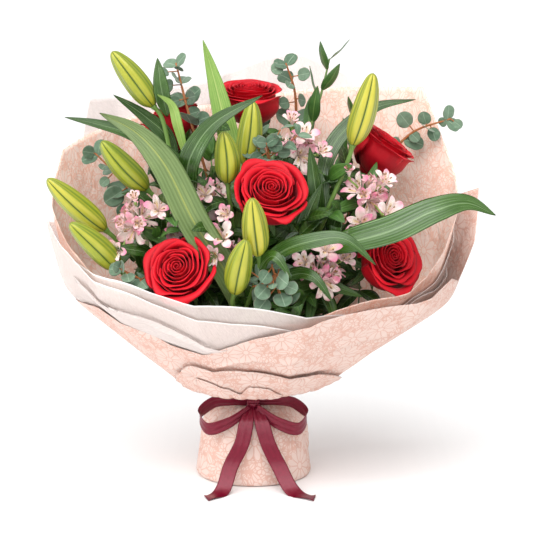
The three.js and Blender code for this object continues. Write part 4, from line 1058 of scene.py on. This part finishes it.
def drawn_in(points):
    """Points moved towards the axis where they would pass through the paper."""
    columns = np.round((np.degrees(np.arctan2(points[..., 1], points[..., 0])) + 270) / 360 * COLUMNS)
    reach = np.hypot(points[..., 0], points[..., 1])
    free = reach.copy()
    for at in np.ndindex(reach.shape):
        wall = WALL[:, int(columns[at]) % COLUMNS]
        free[at] = np.interp(points[at][2], wall[:, 1], wall[:, 0]) - FROM_WALL
    free = np.where(points[..., 2] > WALL_TOP, 1e3, free)
    out = points.copy()
    out[..., :2] *= np.minimum(1, np.maximum(free, FROM_AXIS) / reach)[..., None]
    return out


def clear_of_heads(points):
    """How far the nearest head's ball is from each of the points."""
    flat = points.reshape(-1, 1, 3)
    return np.min(np.linalg.norm(flat - BALLS[:, :3], axis=2) - BALLS[:, 3], axis=1)


def in_bunch(points):
    """Below 1 inside the ball that the foliage fills."""
    return np.linalg.norm((points - BUNCH_CENTRE) / BUNCH_SIZE, axis=-1)


def filling(piece, curve, dice, shoots, stem, look, size, low=0.62, high=0.99):
    """Leafy side shoots that close the bunch between its heads, clear of them and of the paper."""
    for _ in range(shoots):
        share = dice.uniform(low, high)
        root, along = curve.at(share), curve.way(share)
        way = unit(side_of(along, dice.uniform(0, 360)) + along * dice.uniform(0.1, 1.0))
        reach = dice.uniform(34, 78)
        course = np.array([root, root + way * reach * 0.5, root + way * reach + along * reach * 0.2])
        course[1:] = drawn_in(course[None, 1:])[0]
        shoot = Spine(*course)
        free = clear_of_heads(np.array([shoot.at(t) for t in np.linspace(0, 1, 9)])) > 2
        end = (len(free) if free.all() else int(np.argmin(free))) / 9
        end *= min(1, 1 / in_bunch(shoot.at(end)))
        kept = 0
        for k in range(SHOOT_LEAVES):
            last = k == SHOOT_LEAVES - 1
            at = 1 if last else 0.3 + 0.32 * (k // 2)
            start, onward = shoot.at(end * at), shoot.way(end * at)
            side = side_of(onward, 90 * (k // 2) + 180 * k + dice.uniform(-25, 25))
            ray = onward if last else unit(side + onward * 0.7)
            length = size * dice.uniform(0.65, 1.1)
            face = unit(vec((0, -0.75, 0.65)) + vec(dice.uniform(-0.4, 0.4, 3)))
            face = unit(face - ray * ray.dot(face) * 0.8)
            spine = Spine(start, start + ray * length * 0.5 + face * length * 0.08,
                          start + ray * length - vec((0, 0, dice.uniform(-0.05, 0.25) * length)))
            width = length * dice.uniform(0.36, 0.5)
            points = drawn_in(blade(spine, width, face, lance, 0.24, (16, 7), 0.08, dice.integers(1 << 30)))
            if in_bunch(points).max() <= 1 and clear_of_heads(points).min() > 0:
                piece.skin(points, 0.35, look, dice.uniform())
                kept = max(kept, at)
        if end * kept > 0:
            piece.tube(Spine(*[shoot.at(end * kept * t) for t in (0, 0.5, 0.97)]), 0.8, 6, 6, look=stem)


# ------------------------------------------------------------------ roses
PETALS = 24
GOLDEN = 137.508
# How far along the stalk each leaflet starts, its angle and its length.
LEAFLETS = ((22, 0, 34), (12, 58, 27), (12, -58, 27))


def rose_petal(bloom, share, angle, dice):
    """Points of one petal in the bloom's own frame. share: 0 is the heart, 1 the outermost."""
    v, u = np.meshgrid(np.linspace(0, 1, 22), np.linspace(-1, 1, 23), indexing="ij")
    outer = share ** 1.3
    rim = bloom * (0.05 + 0.75 * share ** 1.12) * dice.uniform(0.95, 1.05)
    foot = bloom * (0.05 + 0.22 * share)
    low = 0.1 * BLOOM_HEIGHT
    top = BLOOM_HEIGHT * (0.97 - 0.05 * share - 0.19 * outer ** 2) + 1.6 * share * dice.uniform(-1, 1)
    span = np.radians(125 - 54 * share ** 0.7)
    roll_from = 0.86 - 0.2 * outer
    roll = np.radians(14 + 120 * outer + dice.uniform(-16, 16)) * (0.68 + 0.5 * np.abs(u))
    tight = 2.0 + 4.2 * outer
    point = 0.17 * outer * np.exp(-((u - dice.uniform(-0.2, 0.2)) / 0.2) ** 2)
    along = v * (1 - (0.17 * outer + 0.05) * np.abs(u) ** 1.9 + point)
    cup = np.clip(along / roll_from, 0, 1)
    past = np.clip((along - roll_from) / (1 - roll_from), 0, None)
    belly = np.sin(np.minimum(1, 1.3 * cup) * math.pi / 2) ** 0.9
    wave = dice.uniform(0, 6.28, 3)
    ruffle = (0.3 + 1.2 * outer) * v ** 4 * (np.sin(4.3 * u + wave[0]) + 0.6 * np.sin(9.7 * u + wave[1]))
    radius = foot + (rim - foot) * belly + tight * (1 - np.cos(past * roll)) + ruffle
    radius += (0.5 + 2.6 * share) * u + 0.5 * share * np.sin(7 * u + wave[2]) * v ** 2
    height = low + (top - low) * cup ** 1.1 + tight * np.sin(past * roll) - 1.6 * share * cup ** 3 * u ** 2
    turn = math.radians(angle) + span * u * (0.34 + 0.66 * belly)
    return np.stack([radius * np.cos(turn), radius * np.sin(turn), height], 2)


def rose_bloom(rose):
    piece = Piece(rose["name"] + "_petals")
    dice = np.random.default_rng(rose["seed"])
    aim = direction(*rose["aim"])
    for i in range(PETALS):
        points = rose_petal(rose["radius"], i / (PETALS - 1), GOLDEN * i + dice.uniform(-15, 15), dice)
        piece.skin(placed(points, rose["at"], aim), 0.5, tone=dice.uniform())
    heart = vec([(0, 0, 0.5), (0, 0, 0.4 * BLOOM_HEIGHT), (0, 0, 0.86 * BLOOM_HEIGHT)])
    heart = placed(heart, rose["at"], aim)
    piece.tube(Spine(*heart), lambda t: rose["radius"] * (0.3 * math.sin(math.pi * min(1, t + 0.18)) + 0.02),
               14, 20, tone=0.2)
    piece.stand_for(rose["name"] + "_bloom", "rose_petals", PETAL)


def rose_leaf(piece, root, way, face, bend, dice):
    """Toothed leaflets on a short stalk."""
    piece.tube(Spine(*bent(np.array([root + way * d for d in (0, 12, 24)]), bend, root)), 0.9, 6, 7)
    for reach, spread, length in LEAFLETS:
        start = root + way * reach
        ray = turned(way, face, spread)
        droop = face * length * dice.uniform(-0.1, 0.02)
        spine = Spine(start, start + ray * length / 2 + face * 2, start + ray * length + droop)
        piece.leaf(dice, spine, length * 0.56, face, LEAFLET, bend=bend, root=root)


def rose_stem(rose):
    piece = Piece(rose["name"] + "_leafy_stem")
    dice = np.random.default_rng(rose["seed"] + 100)
    node = rose["name"] + "_stem"
    facing = direction(*rose["aim"])
    top = vec(rose["at"]) - facing * GAP
    hip = top - facing * CALYX
    curve = stem_spine(rose["name"], [hip - facing * 22, hip])
    piece.tube(curve, ROSE_STALK, 60, 14)
    piece.tube(Spine(hip - facing * 3, hip + facing * 1.5, top),
               lambda t: ROSE_STALK + 4.2 * math.sin(1.45 * t), 10, 16)
    root = hip + facing * 2
    for i in range(5):
        out = side_of(facing, 72 * i)
        spine = Spine(root, root + out * 12 - facing * 2, root + out * 24 - facing * 8)
        bend = taken_bend(node, root, spine.at(1), facing)
        piece.leaf(dice, spine, 8, facing, SEPAL_BLADE, look=2, bend=bend, seed=i)
    for share, turn in ((0.78, 60), (0.62, 240)):
        root, along = curve.at(share), curve.way(share)
        way = unit(side_of(along, turn) * 0.8 + along * 0.6)
        face = unit(vec((0, -0.5, 0.5)) - np.cross(np.cross(along, way), way))
        bend = taken_bend(node, root, root + way * 56, face)
        if bend:
            rose_leaf(piece, root, way, face, bend, dice)
    filling(piece, curve, dice, shoots=14, stem=0, look=1, size=34, low=0.56)
    piece.stand_for(node, "rose_foliage", ROSE_STEM, ROSE_LEAF, SEPAL)


# ------------------------------------------------------------------ lilies
# The share of a bud's length and its width there.
BUD_SHAPE = [(0, 0.3), (0.04, 0.52), (0.1, 0.77), (0.2, 0.96), (0.32, 1.05), (0.46, 1.05), (0.6, 0.99),
             (0.74, 0.85), (0.86, 0.64), (0.93, 0.47), (0.975, 0.3), (1, 0.03)]


def lily_bud(lily, index):
    base, tip = map(vec, lily["buds"][index])
    name = f"{lily['name']}_bud_{index + 1}"
    dice = dice_for(name)
    rows, columns = 46, 96
    share = 0.5 - 0.5 * np.cos(np.linspace(0, math.pi, rows))
    wide = np.interp(share, *zip(*BUD_SHAPE))
    wide = np.convolve(np.pad(wide, 2, mode="edge"), np.ones(5) / 5, "valid") * np.where(share > 0.99, 0.4, 1)
    thirds = np.arange(columns) / columns * 3
    angle = np.radians(30) + thirds / 3 * 2 * math.pi
    seam, rib = (np.abs((thirds + shift) % 1 - 0.5) / 3 * 2 * math.pi for shift in (0.5, 0))
    ridge = (0.935 + 0.055 * np.cos(6 * angle) - 0.1 * np.exp(-(seam / 0.07) ** 2)
             - 0.02 * np.exp(-(rib / 0.06) ** 2))
    lobes = 1 + (ridge - 1) * np.sin(np.clip(share * 1.25, 0, 1) * math.pi / 2)[:, None] ** 0.6
    bow = 1.8 * np.sin(math.pi * share) * math.cos(dice.uniform(0, 6.28))
    piece = Piece(name + "_closed")
    piece.lathed(BUD_RADIUS * wide[:, None] * lobes, angle, share[:, None] * np.linalg.norm(tip - base),
                 bow[:, None], base, unit(tip - base), dice.uniform())
    piece.stand_for(name, "lily_buds", BUD)


def lily_stem(lily):
    piece = Piece(lily["name"] + "_leafy_stem")
    node = lily["name"] + "_stem"
    dice = dice_for(node)
    fork = vec(lily["node"])
    trunk = stem_spine(lily["name"], [fork])
    piece.tube(trunk, LILY_STALK, 60, 16, look=3)
    stalks = [trunk]
    for base, tip in lily["buds"]:
        aim = unit(vec(tip) - vec(base))
        end = vec(base) - aim * GAP
        stalks.append(Spine(fork - trunk.way(1) * 3, end - aim * 14, end))
        piece.tube(stalks[-1], lambda t: 2.4 + 1.4 * max(0, t - 0.8) / 0.2, 30, 14, look=3)
    nodes = np.array([stalk.at(i / 60) for stalk in stalks for i in range(61)])
    for part in lily["leaves"]:
        root = nodes[np.linalg.norm(nodes - vec(part["spine"][0]), axis=1).argmin()]
        face = unit(vec(part["face"]))
        bend = taken_bend(node, root, vec(part["spine"][-1]), face)
        if bend:
            bend = None if part["own_course"] else bend
            piece.leaf(dice, Spine(root, *part["spine"][1:]), part["width"], face, LILY_BLADE,
                       part["look"], bend)
    for part in lily.get("small", ()):
        piece.leaf(dice, Spine(*part["spine"]), part["width"], unit(vec(part["face"])), SMALL_LILY_BLADE,
                   part["look"])
    filling(piece, trunk, dice, shoots=11, stem=3, look=DARK, size=42, low=0.66)
    piece.stand_for(node, "lily_foliage", *LILY_LEAVES, LILY_STEM)


# ------------------------------------------------------------------ alstroemeria
# Course of a tepal, as distances from the floret's axis and up it, its width, and its look.
OUTER_TEPAL = dict(course=[(0.8, -1.5), (3.2, 5), (9, 11.5), (15, 15), (19.2, 15.6)], width=11.5, look=0)
INNER_TEPAL = dict(course=[(0.6, -1), (2.4, 6), (6.5, 12.5), (11.5, 17), (16.4, 18.6)], width=9, look=1)
# How wide a closed floret is, at each height up its length.
CLOSED_SHAPE = [(0, 1.0), (3, 1.6), (8, 3.4), (14, 4.6), (21, 3.4), (24.5, 1.6), (26, 0.1)]


def floret(piece, root, aim, turn, dice, size, open_by):
    def strand(points, radius, steps, sides, look):
        piece.tube(Spine(*placed(np.array(points, float), root, aim)), radius, steps, sides, look)

    up = vec((0, 0, 1))
    strand([up * -6 * size, up * -3 * size, up * size],
           lambda t: (1.2 + 1.4 * math.sin(2.6 * t)) * size, 6, 10, 2)
    for k in range(6):
        kind = OUTER_TEPAL if k % 2 else INNER_TEPAL
        out = direction(turn + 60 * k + dice.uniform(-6, 6), 0)
        lean = dice.uniform(0.9, 1.08) * open_by
        spine = Spine(*[out * r * lean * size + up * (z * size) for r, z in kind["course"]])
        width = kind["width"] * size * (0.6 + 0.4 * open_by)
        points = blade(spine, width, up - out * 0.6, spoon, 0.22, (20, 11), 0.1, dice.integers(1 << 30))
        piece.skin(placed(points, root, aim), 0.4, kind["look"], dice.uniform())
    for k in range(5):
        out = direction(turn + 72 * k + dice.uniform(-20, 20), 0)
        height = dice.uniform(13, 17) * size
        tip = out * 5.5 * size * open_by + up * height
        strand([up, out * 2.2 * size + up * (height * 0.6), tip], 0.35, 6, 6, 0)
        strand([tip - up * 0.6, tip + out * 0.6 + up * 1.2, tip + out * 1.6 + up * 2.2],
               lambda t: 0.8 * math.sin(math.pi * (0.1 + 0.8 * t)), 5, 7, 3)


def closed_floret(piece, root, aim, dice, size):
    length = CLOSED_SHAPE[-1][0]
    share = np.linspace(0, 1, 18)[:, None]
    angle = np.arange(24) * 2 * math.pi / 24
    radius = np.interp(share * length, *zip(*CLOSED_SHAPE)) * size
    radius = radius * (0.94 + 0.07 * np.cos(3 * angle + 2.2 * share))
    piece.lathed(radius, angle, share * length * size, 0, root, aim, dice.uniform())


def alstroemeria_head(plant):
    piece = Piece(plant["name"] + "_florets")
    dice = dice_for(plant["name"])
    facing = direction(*plant["aim"])
    seat = vec(plant["at"])
    centre = seat + facing * UMBEL_SEAT

    def hung(way, reach, turn, size, open_by):
        root = centre + way * reach
        piece.tube(Spine(seat, seat + facing * 3 + way * 0.5, root - way * 5 * size), 1.3, 8, 8, look=2)
        if open_by:
            floret(piece, root, way, turn, dice, size, open_by)
        else:
            closed_floret(piece, root, way, dice, size)

    for i in range(RAYS):
        share = i * 360 / RAYS
        hung(turned(facing, side_of(facing, share), 58), 4, i * 25, 1.0, 1.0)
        hung(turned(facing, side_of(facing, share + 60), 34), 9, i * 40, 0.8, 0.62)
    hung(facing, 6, 0, 0.95, 0)
    hung(turned(facing, side_of(facing, 30), 22), 5, 0, 0.7, 0)
    for i, (at, aim, size, open_by) in enumerate(plant["more"]):
        way = direction(*aim)
        stalk = Spine(seat, (seat + vec(at)) / 2 + facing * 3, vec(at) - way * 5 * size)
        piece.tube(stalk, 1.1, 10, 8, look=2)
        floret(piece, vec(at), way, 35 * i, dice, size, open_by)
    piece.stand_for(plant["name"] + "_flowers", "alstroemeria_petals", *TEPALS, FLORET_GREEN, ANTHER)


def alstroemeria_stem(plant):
    piece = Piece(plant["name"] + "_leafy_stem")
    node = plant["name"] + "_stem"
    dice = dice_for(node)
    facing = direction(*plant["aim"])
    end = vec(plant["at"]) - facing * GAP
    curve = stem_spine(plant["name"], [end - facing * 20, end])
    piece.tube(curve, ALSTROEMERIA_STALK, 60, 12)
    for i in range(6):
        side = side_of(facing, 60 + 137.5 * i)
        root = curve.at(0.96 - 0.055 * i)
        tip = root + side * 50 + facing * 6
        bend = taken_bend(node, root, tip, facing)
        if bend:
            spine = Spine(root, root + side * 20 + facing * 6, tip)
            piece.leaf(dice, spine, 14, facing, ALSTROEMERIA_BLADE, bend=bend)
    filling(piece, curve, dice, shoots=14, stem=0, look=1, size=36, low=0.56)
    piece.stand_for(node, "alstroemeria_foliage", ALSTROEMERIA_STEM, ALSTROEMERIA_LEAF)


# ------------------------------------------------------------------ eucalyptus and ruscus
TO_CAMERA = vec((0, -0.98, 0.17))


def sprig(plant, leaves, thick, thin_from, shoots, slot, *materials):
    """A stem that thins to its tip, its leaves, and shoots: how many, their leaves' length, from and to."""
    piece = Piece(plant["name"] + "_sprig")
    dice = dice_for(plant["name"])
    points = [vec(p) for p in plant["path"]]
    whole = stem_spine(plant["name"], points)
    piece.tube(whole, lambda t: thick - 0.7 * max(0, t - thin_from) / (1 - thin_from), 60, 10)
    leaves(piece, dice, plant, Spine(*points))
    count, size, low, high = shoots
    filling(piece, whole, dice, count, 0, 1, size, low, high)
    piece.stand_for(plant["name"], slot, *materials)


def eucalyptus_leaves(piece, dice, plant, course):
    pairs = plant["pairs"]
    for i in range(pairs):
        share = 0.12 + 0.84 * i / (pairs - 1)
        along, root = course.way(share), course.at(share)
        long = plant["leaf"] * (1 - 0.5 * i / pairs)
        for side in (0, 180):
            out = unit(side_of(along, side + (100 if i % 2 else 20)) + along * 0.5)
            face = unit(along * 0.7 + vec((0, -1, 0.2)))
            tip = root + out * (2 * long + 2)
            bend = taken_bend(plant["name"], root, tip, face)
            if bend:
                spine = Spine(root, root + out * (long + 1) + face * 0.8, tip)
                piece.leaf(dice, spine, 2 * long, face, ROUND_LEAF, bend=bend)
    for x, y, z, size in plant["rounds"]:
        centre = vec((x, y, z))
        root = min((course.at(t) for t in np.linspace(0, 1, 25)), key=lambda p: np.linalg.norm(p - centre))
        way = unit(centre - root + vec((0, 0, 0.01)))
        face = unit(TO_CAMERA - way * way.dot(TO_CAMERA) + vec(dice.uniform(-0.25, 0.25, 3)))
        near, far = centre - way * size, centre + way * size
        piece.tube(Spine(root, (root + near) / 2, near + way), 0.7, 5, 6)
        spine = Spine(near, centre + face * 0.6, far)
        piece.leaf(dice, spine, 1.9 * size, face, FURTHER_ROUND_LEAF)


def ruscus_leaves(piece, dice, plant, course):
    for i in range(plant["leaves"]):
        share = 0.05 + 0.93 * i / (plant["leaves"] - 1)
        along, root = course.way(share), course.at(share)
        out = side_of(along, 137.5 * i)
        long = plant["leaf"] * (1 - 0.35 * share)
        tip = root + out * long * 0.5 + along * long * 0.8
        face = unit(along - out)
        bend = taken_bend(plant["name"], root, tip, face)
        if bend:
            spine = Spine(root, root + out * long * 0.28 + along * long * 0.35, tip)
            piece.leaf(dice, spine, plant["width"], face, RUSCUS_BLADE, bend=bend)


# ------------------------------------------------------------------ twine and ribbon
TWINE_TURNS, TWINE_RADIUS = 3, 1.5
KNOT = vec((0, -44.6, 91.4))
LOOP = [(2, 0, -1), (24, 0, 1), (44, 3, -2), (58, 0, -15), (50, -12, -27), (28, -17, -20), (2, -6, -5)]
TAILS = [[(-1, 0, -1), (-7, -16, -18), (-12, -24, -40), (-24, -30, -64), (-34, -46, -88), (-50, -62, -89.7)],
         [(1, 0, -1), (9, -16, -18), (16, -24, -40), (28, -30, -64), (44, -46, -88), (66, -62, -89.7)]]
BAND_RADIUS, BAND_HALF = 38.6, 4.5
SATIN_SKIN = 0.35


def binding():
    piece = Piece("twine_turns")
    radius = BUNDLE_RADIUS + 0.8 + 1.7
    angle = np.linspace(0, TWINE_TURNS * 2 * math.pi, TWINE_TURNS * 40)
    height = TIE_HEIGHT + np.linspace(-3.3, 3.3, len(angle))
    course = np.stack([radius * np.cos(angle), radius * np.sin(angle), height], 1)
    piece.tube(Spine(*course), TWINE_RADIUS, 240, 12)
    piece.stand_for("binding_twine", "twine", TWINE)


def strap(piece, points, across_at, width_at, gather_at, rows, skew=0.0, seed=0):
    """A stretch of ribbon. gather_at: how deep it is folded lengthwise. skew: how slanted its end is cut."""
    spine = Spine(*[KNOT + vec(p) for p in points])
    phase = np.random.default_rng(seed).uniform(0, 6.28, 2)
    u = np.linspace(-1, 1, 17)
    out = []
    for t in np.linspace(0, 1, rows):
        along = spine.way(t)
        across = vec(across_at(t))
        across = unit(across - along * along.dot(across))
        up = np.cross(across, along)
        folds = np.sin(2.5 * math.pi * u + phase[0]) + 0.5 * np.sin(5.2 * math.pi * u + phase[1])
        fold = gather_at(t) * folds
        slant = along * (skew * np.clip((t - 0.9) / 0.1, 0, 1) * u)[:, None]
        out.append(spine.at(t) + across * (width_at(t) / 2 * u)[:, None] + up * fold[:, None] + slant)
    piece.skin(np.array(out), SATIN_SKIN, uv=unit_uv(rows, len(u)) * (1, rows / 20))


def bow():
    piece = Piece("ribbon_satin")
    angle = np.arange(121) % 120 * 2 * math.pi / 120
    w = np.linspace(-1, 1, 9)[:, None]
    crush = 0.35 * np.sin(3.2 * math.pi * w + 0.6 * np.sin(3 * angle)) + 0.2 * np.sin(7 * angle + 2 * w)
    radius = BAND_RADIUS + crush
    height = BAND_HEIGHT + BAND_HALF * w + 0 * angle
    piece.skin(np.stack([radius * np.cos(angle), radius * np.sin(angle), height], 2), SATIN_SKIN)
    round_knot = np.linspace(0, 2 * math.pi, 49)[:, None]
    w = np.linspace(-1, 1, 15)
    pinch = 7.6 * (1 - 0.16 * np.abs(w) ** 2.4) + 0.45 * np.sin(2.6 * math.pi * w + 0.7)
    piece.skin(KNOT + np.stack([w * 7.2 + 0 * round_knot, -pinch * 0.95 * np.cos(round_knot),
                                pinch * np.sin(round_knot)], 2), SATIN_SKIN)
    for i, side in enumerate((-1, 1)):
        strap(piece, [(side * x, y, z) for x, y, z in LOOP],
              lambda t: vec((0, -0.55, 0.84)) * (1 - t) + vec((0, -0.2, 0.98)) * t,
              lambda t: RIBBON_WIDTH * (0.55 + 0.45 * math.sin(math.pi * t) ** 0.5),
              lambda t: 0.9 * (1 - math.sin(math.pi * t) ** 0.6) + 0.12, 60, seed=i)
    for i, tail in enumerate(TAILS):
        strap(piece, tail, lambda t: (1, 0, 0), lambda t: RIBBON_WIDTH * (0.55 + 0.45 * min(1, t * 4)),
              lambda t: 0.8 * max(0, 1 - 5 * t) + 0.1 * (1 - t), 70, skew=(4, -4)[i], seed=i + 5)
    made = piece.stand_for("ribbon_bow", "satin_ribbon", SATIN)


# ------------------------------------------------------------------ the bunch
for layer, sheet in enumerate(SHEETS):
    wrap(sheet, layer, *PAPERS[sheet["look"]])
bow()
binding()
for rose in ROSES:
    rose_bloom(rose)
    rose_stem(rose)
for lily in LILIES:
    for index in range(len(lily["buds"])):
        lily_bud(lily, index)
    lily_stem(lily)
for plant in ALSTROEMERIAS:
    alstroemeria_head(plant)
    alstroemeria_stem(plant)
for plant in EUCALYPTUS:
    sprig(plant, eucalyptus_leaves, SPRIG_STALK, 0.7, (4, 22, 0.66, 0.92), "eucalyptus_foliage",
          EUCALYPTUS_STEM, EUCALYPTUS_LEAF)
for plant in RUSCUS:
    sprig(plant, ruscus_leaves, 1.7, 0.6, (9, 34, 0.6, 0.9), "ruscus_foliage", RUSCUS_STEM, RUSCUS_LEAF)

# ------------------------------------------------------------------ floor, light and camera, in metres
FLOOR_RADIUS, FLOOR_SIDES = 40.0, 64
WORLD_STRENGTH = 0.62
SUN_STRENGTH, SUN_SPREAD, SUN_FROM = 2.6, 75, (-112, 52)
# Area lamps: place, target, size and power.
LAMPS = dict(key=((-2.0, -0.7, 0.7), (0, 0, 0.2), 0.4, 9), fill=((1.2, -2.0, 0.5), (0, 0, 0.2), 1.4, 2.0),
             top=((0.1, -1.1, 1.7), (0, 0, 0.25), 1.0, 8))
CAMERA, TARGET = (0.0145, -2.0, 0.59), (0.0145, 0, 0.233)
LENS, SENSOR = 124.75, 36.0


def floor():
    look = Look("floor", Roughness=0.9, Specular_IOR_Level=0.1)
    grain = look.noise(look.place("Object")[0], 60.0)
    grey = look.mixed(grain, (0.93, 0.93, 0.93, 1), (0.95, 0.95, 0.95, 1))
    look.link(grey, look.shader.inputs["Base Color"])
    mesh = bpy.data.meshes.new("floor")
    corners = [direction(i * 360 / FLOOR_SIDES, 0) * FLOOR_RADIUS for i in range(FLOOR_SIDES)]
    mesh.from_pydata(corners, [], [list(range(FLOOR_SIDES))])
    mesh.materials.append(look.material)
    made = added("floor", mesh)


def aimed(name, data, place, target):
    made = added(name, data)
    made.location = place
    made.rotation_euler = (Vector(target) - Vector(place)).to_track_quat("-Z", "Y").to_euler()
    return made


floor()
world = bpy.data.worlds.new("studio")
world.use_nodes = True
world.node_tree.nodes["Background"].inputs["Color"].default_value = (1, 1, 1, 1)
world.node_tree.nodes["Background"].inputs["Strength"].default_value = WORLD_STRENGTH
bpy.context.scene.world = world
for name, (place, target, size, power) in LAMPS.items():
    data = bpy.data.lights.new(name, "AREA")
    data.size, data.energy = size, power
    aimed(name, data, place, target)
sun = added("sun", bpy.data.lights.new("sun", "SUN"))
sun.data.energy, sun.data.angle = SUN_STRENGTH, math.radians(SUN_SPREAD)
sun.rotation_euler = Vector(direction(*SUN_FROM)).to_track_quat("Z", "Y").to_euler()
bpy.context.scene.view_settings.view_transform = "Standard"

camera_data = bpy.data.cameras.new("camera")
camera_data.lens, camera_data.sensor_width = LENS, SENSOR
bpy.context.scene.camera = aimed("camera", camera_data, CAMERA, TARGET)
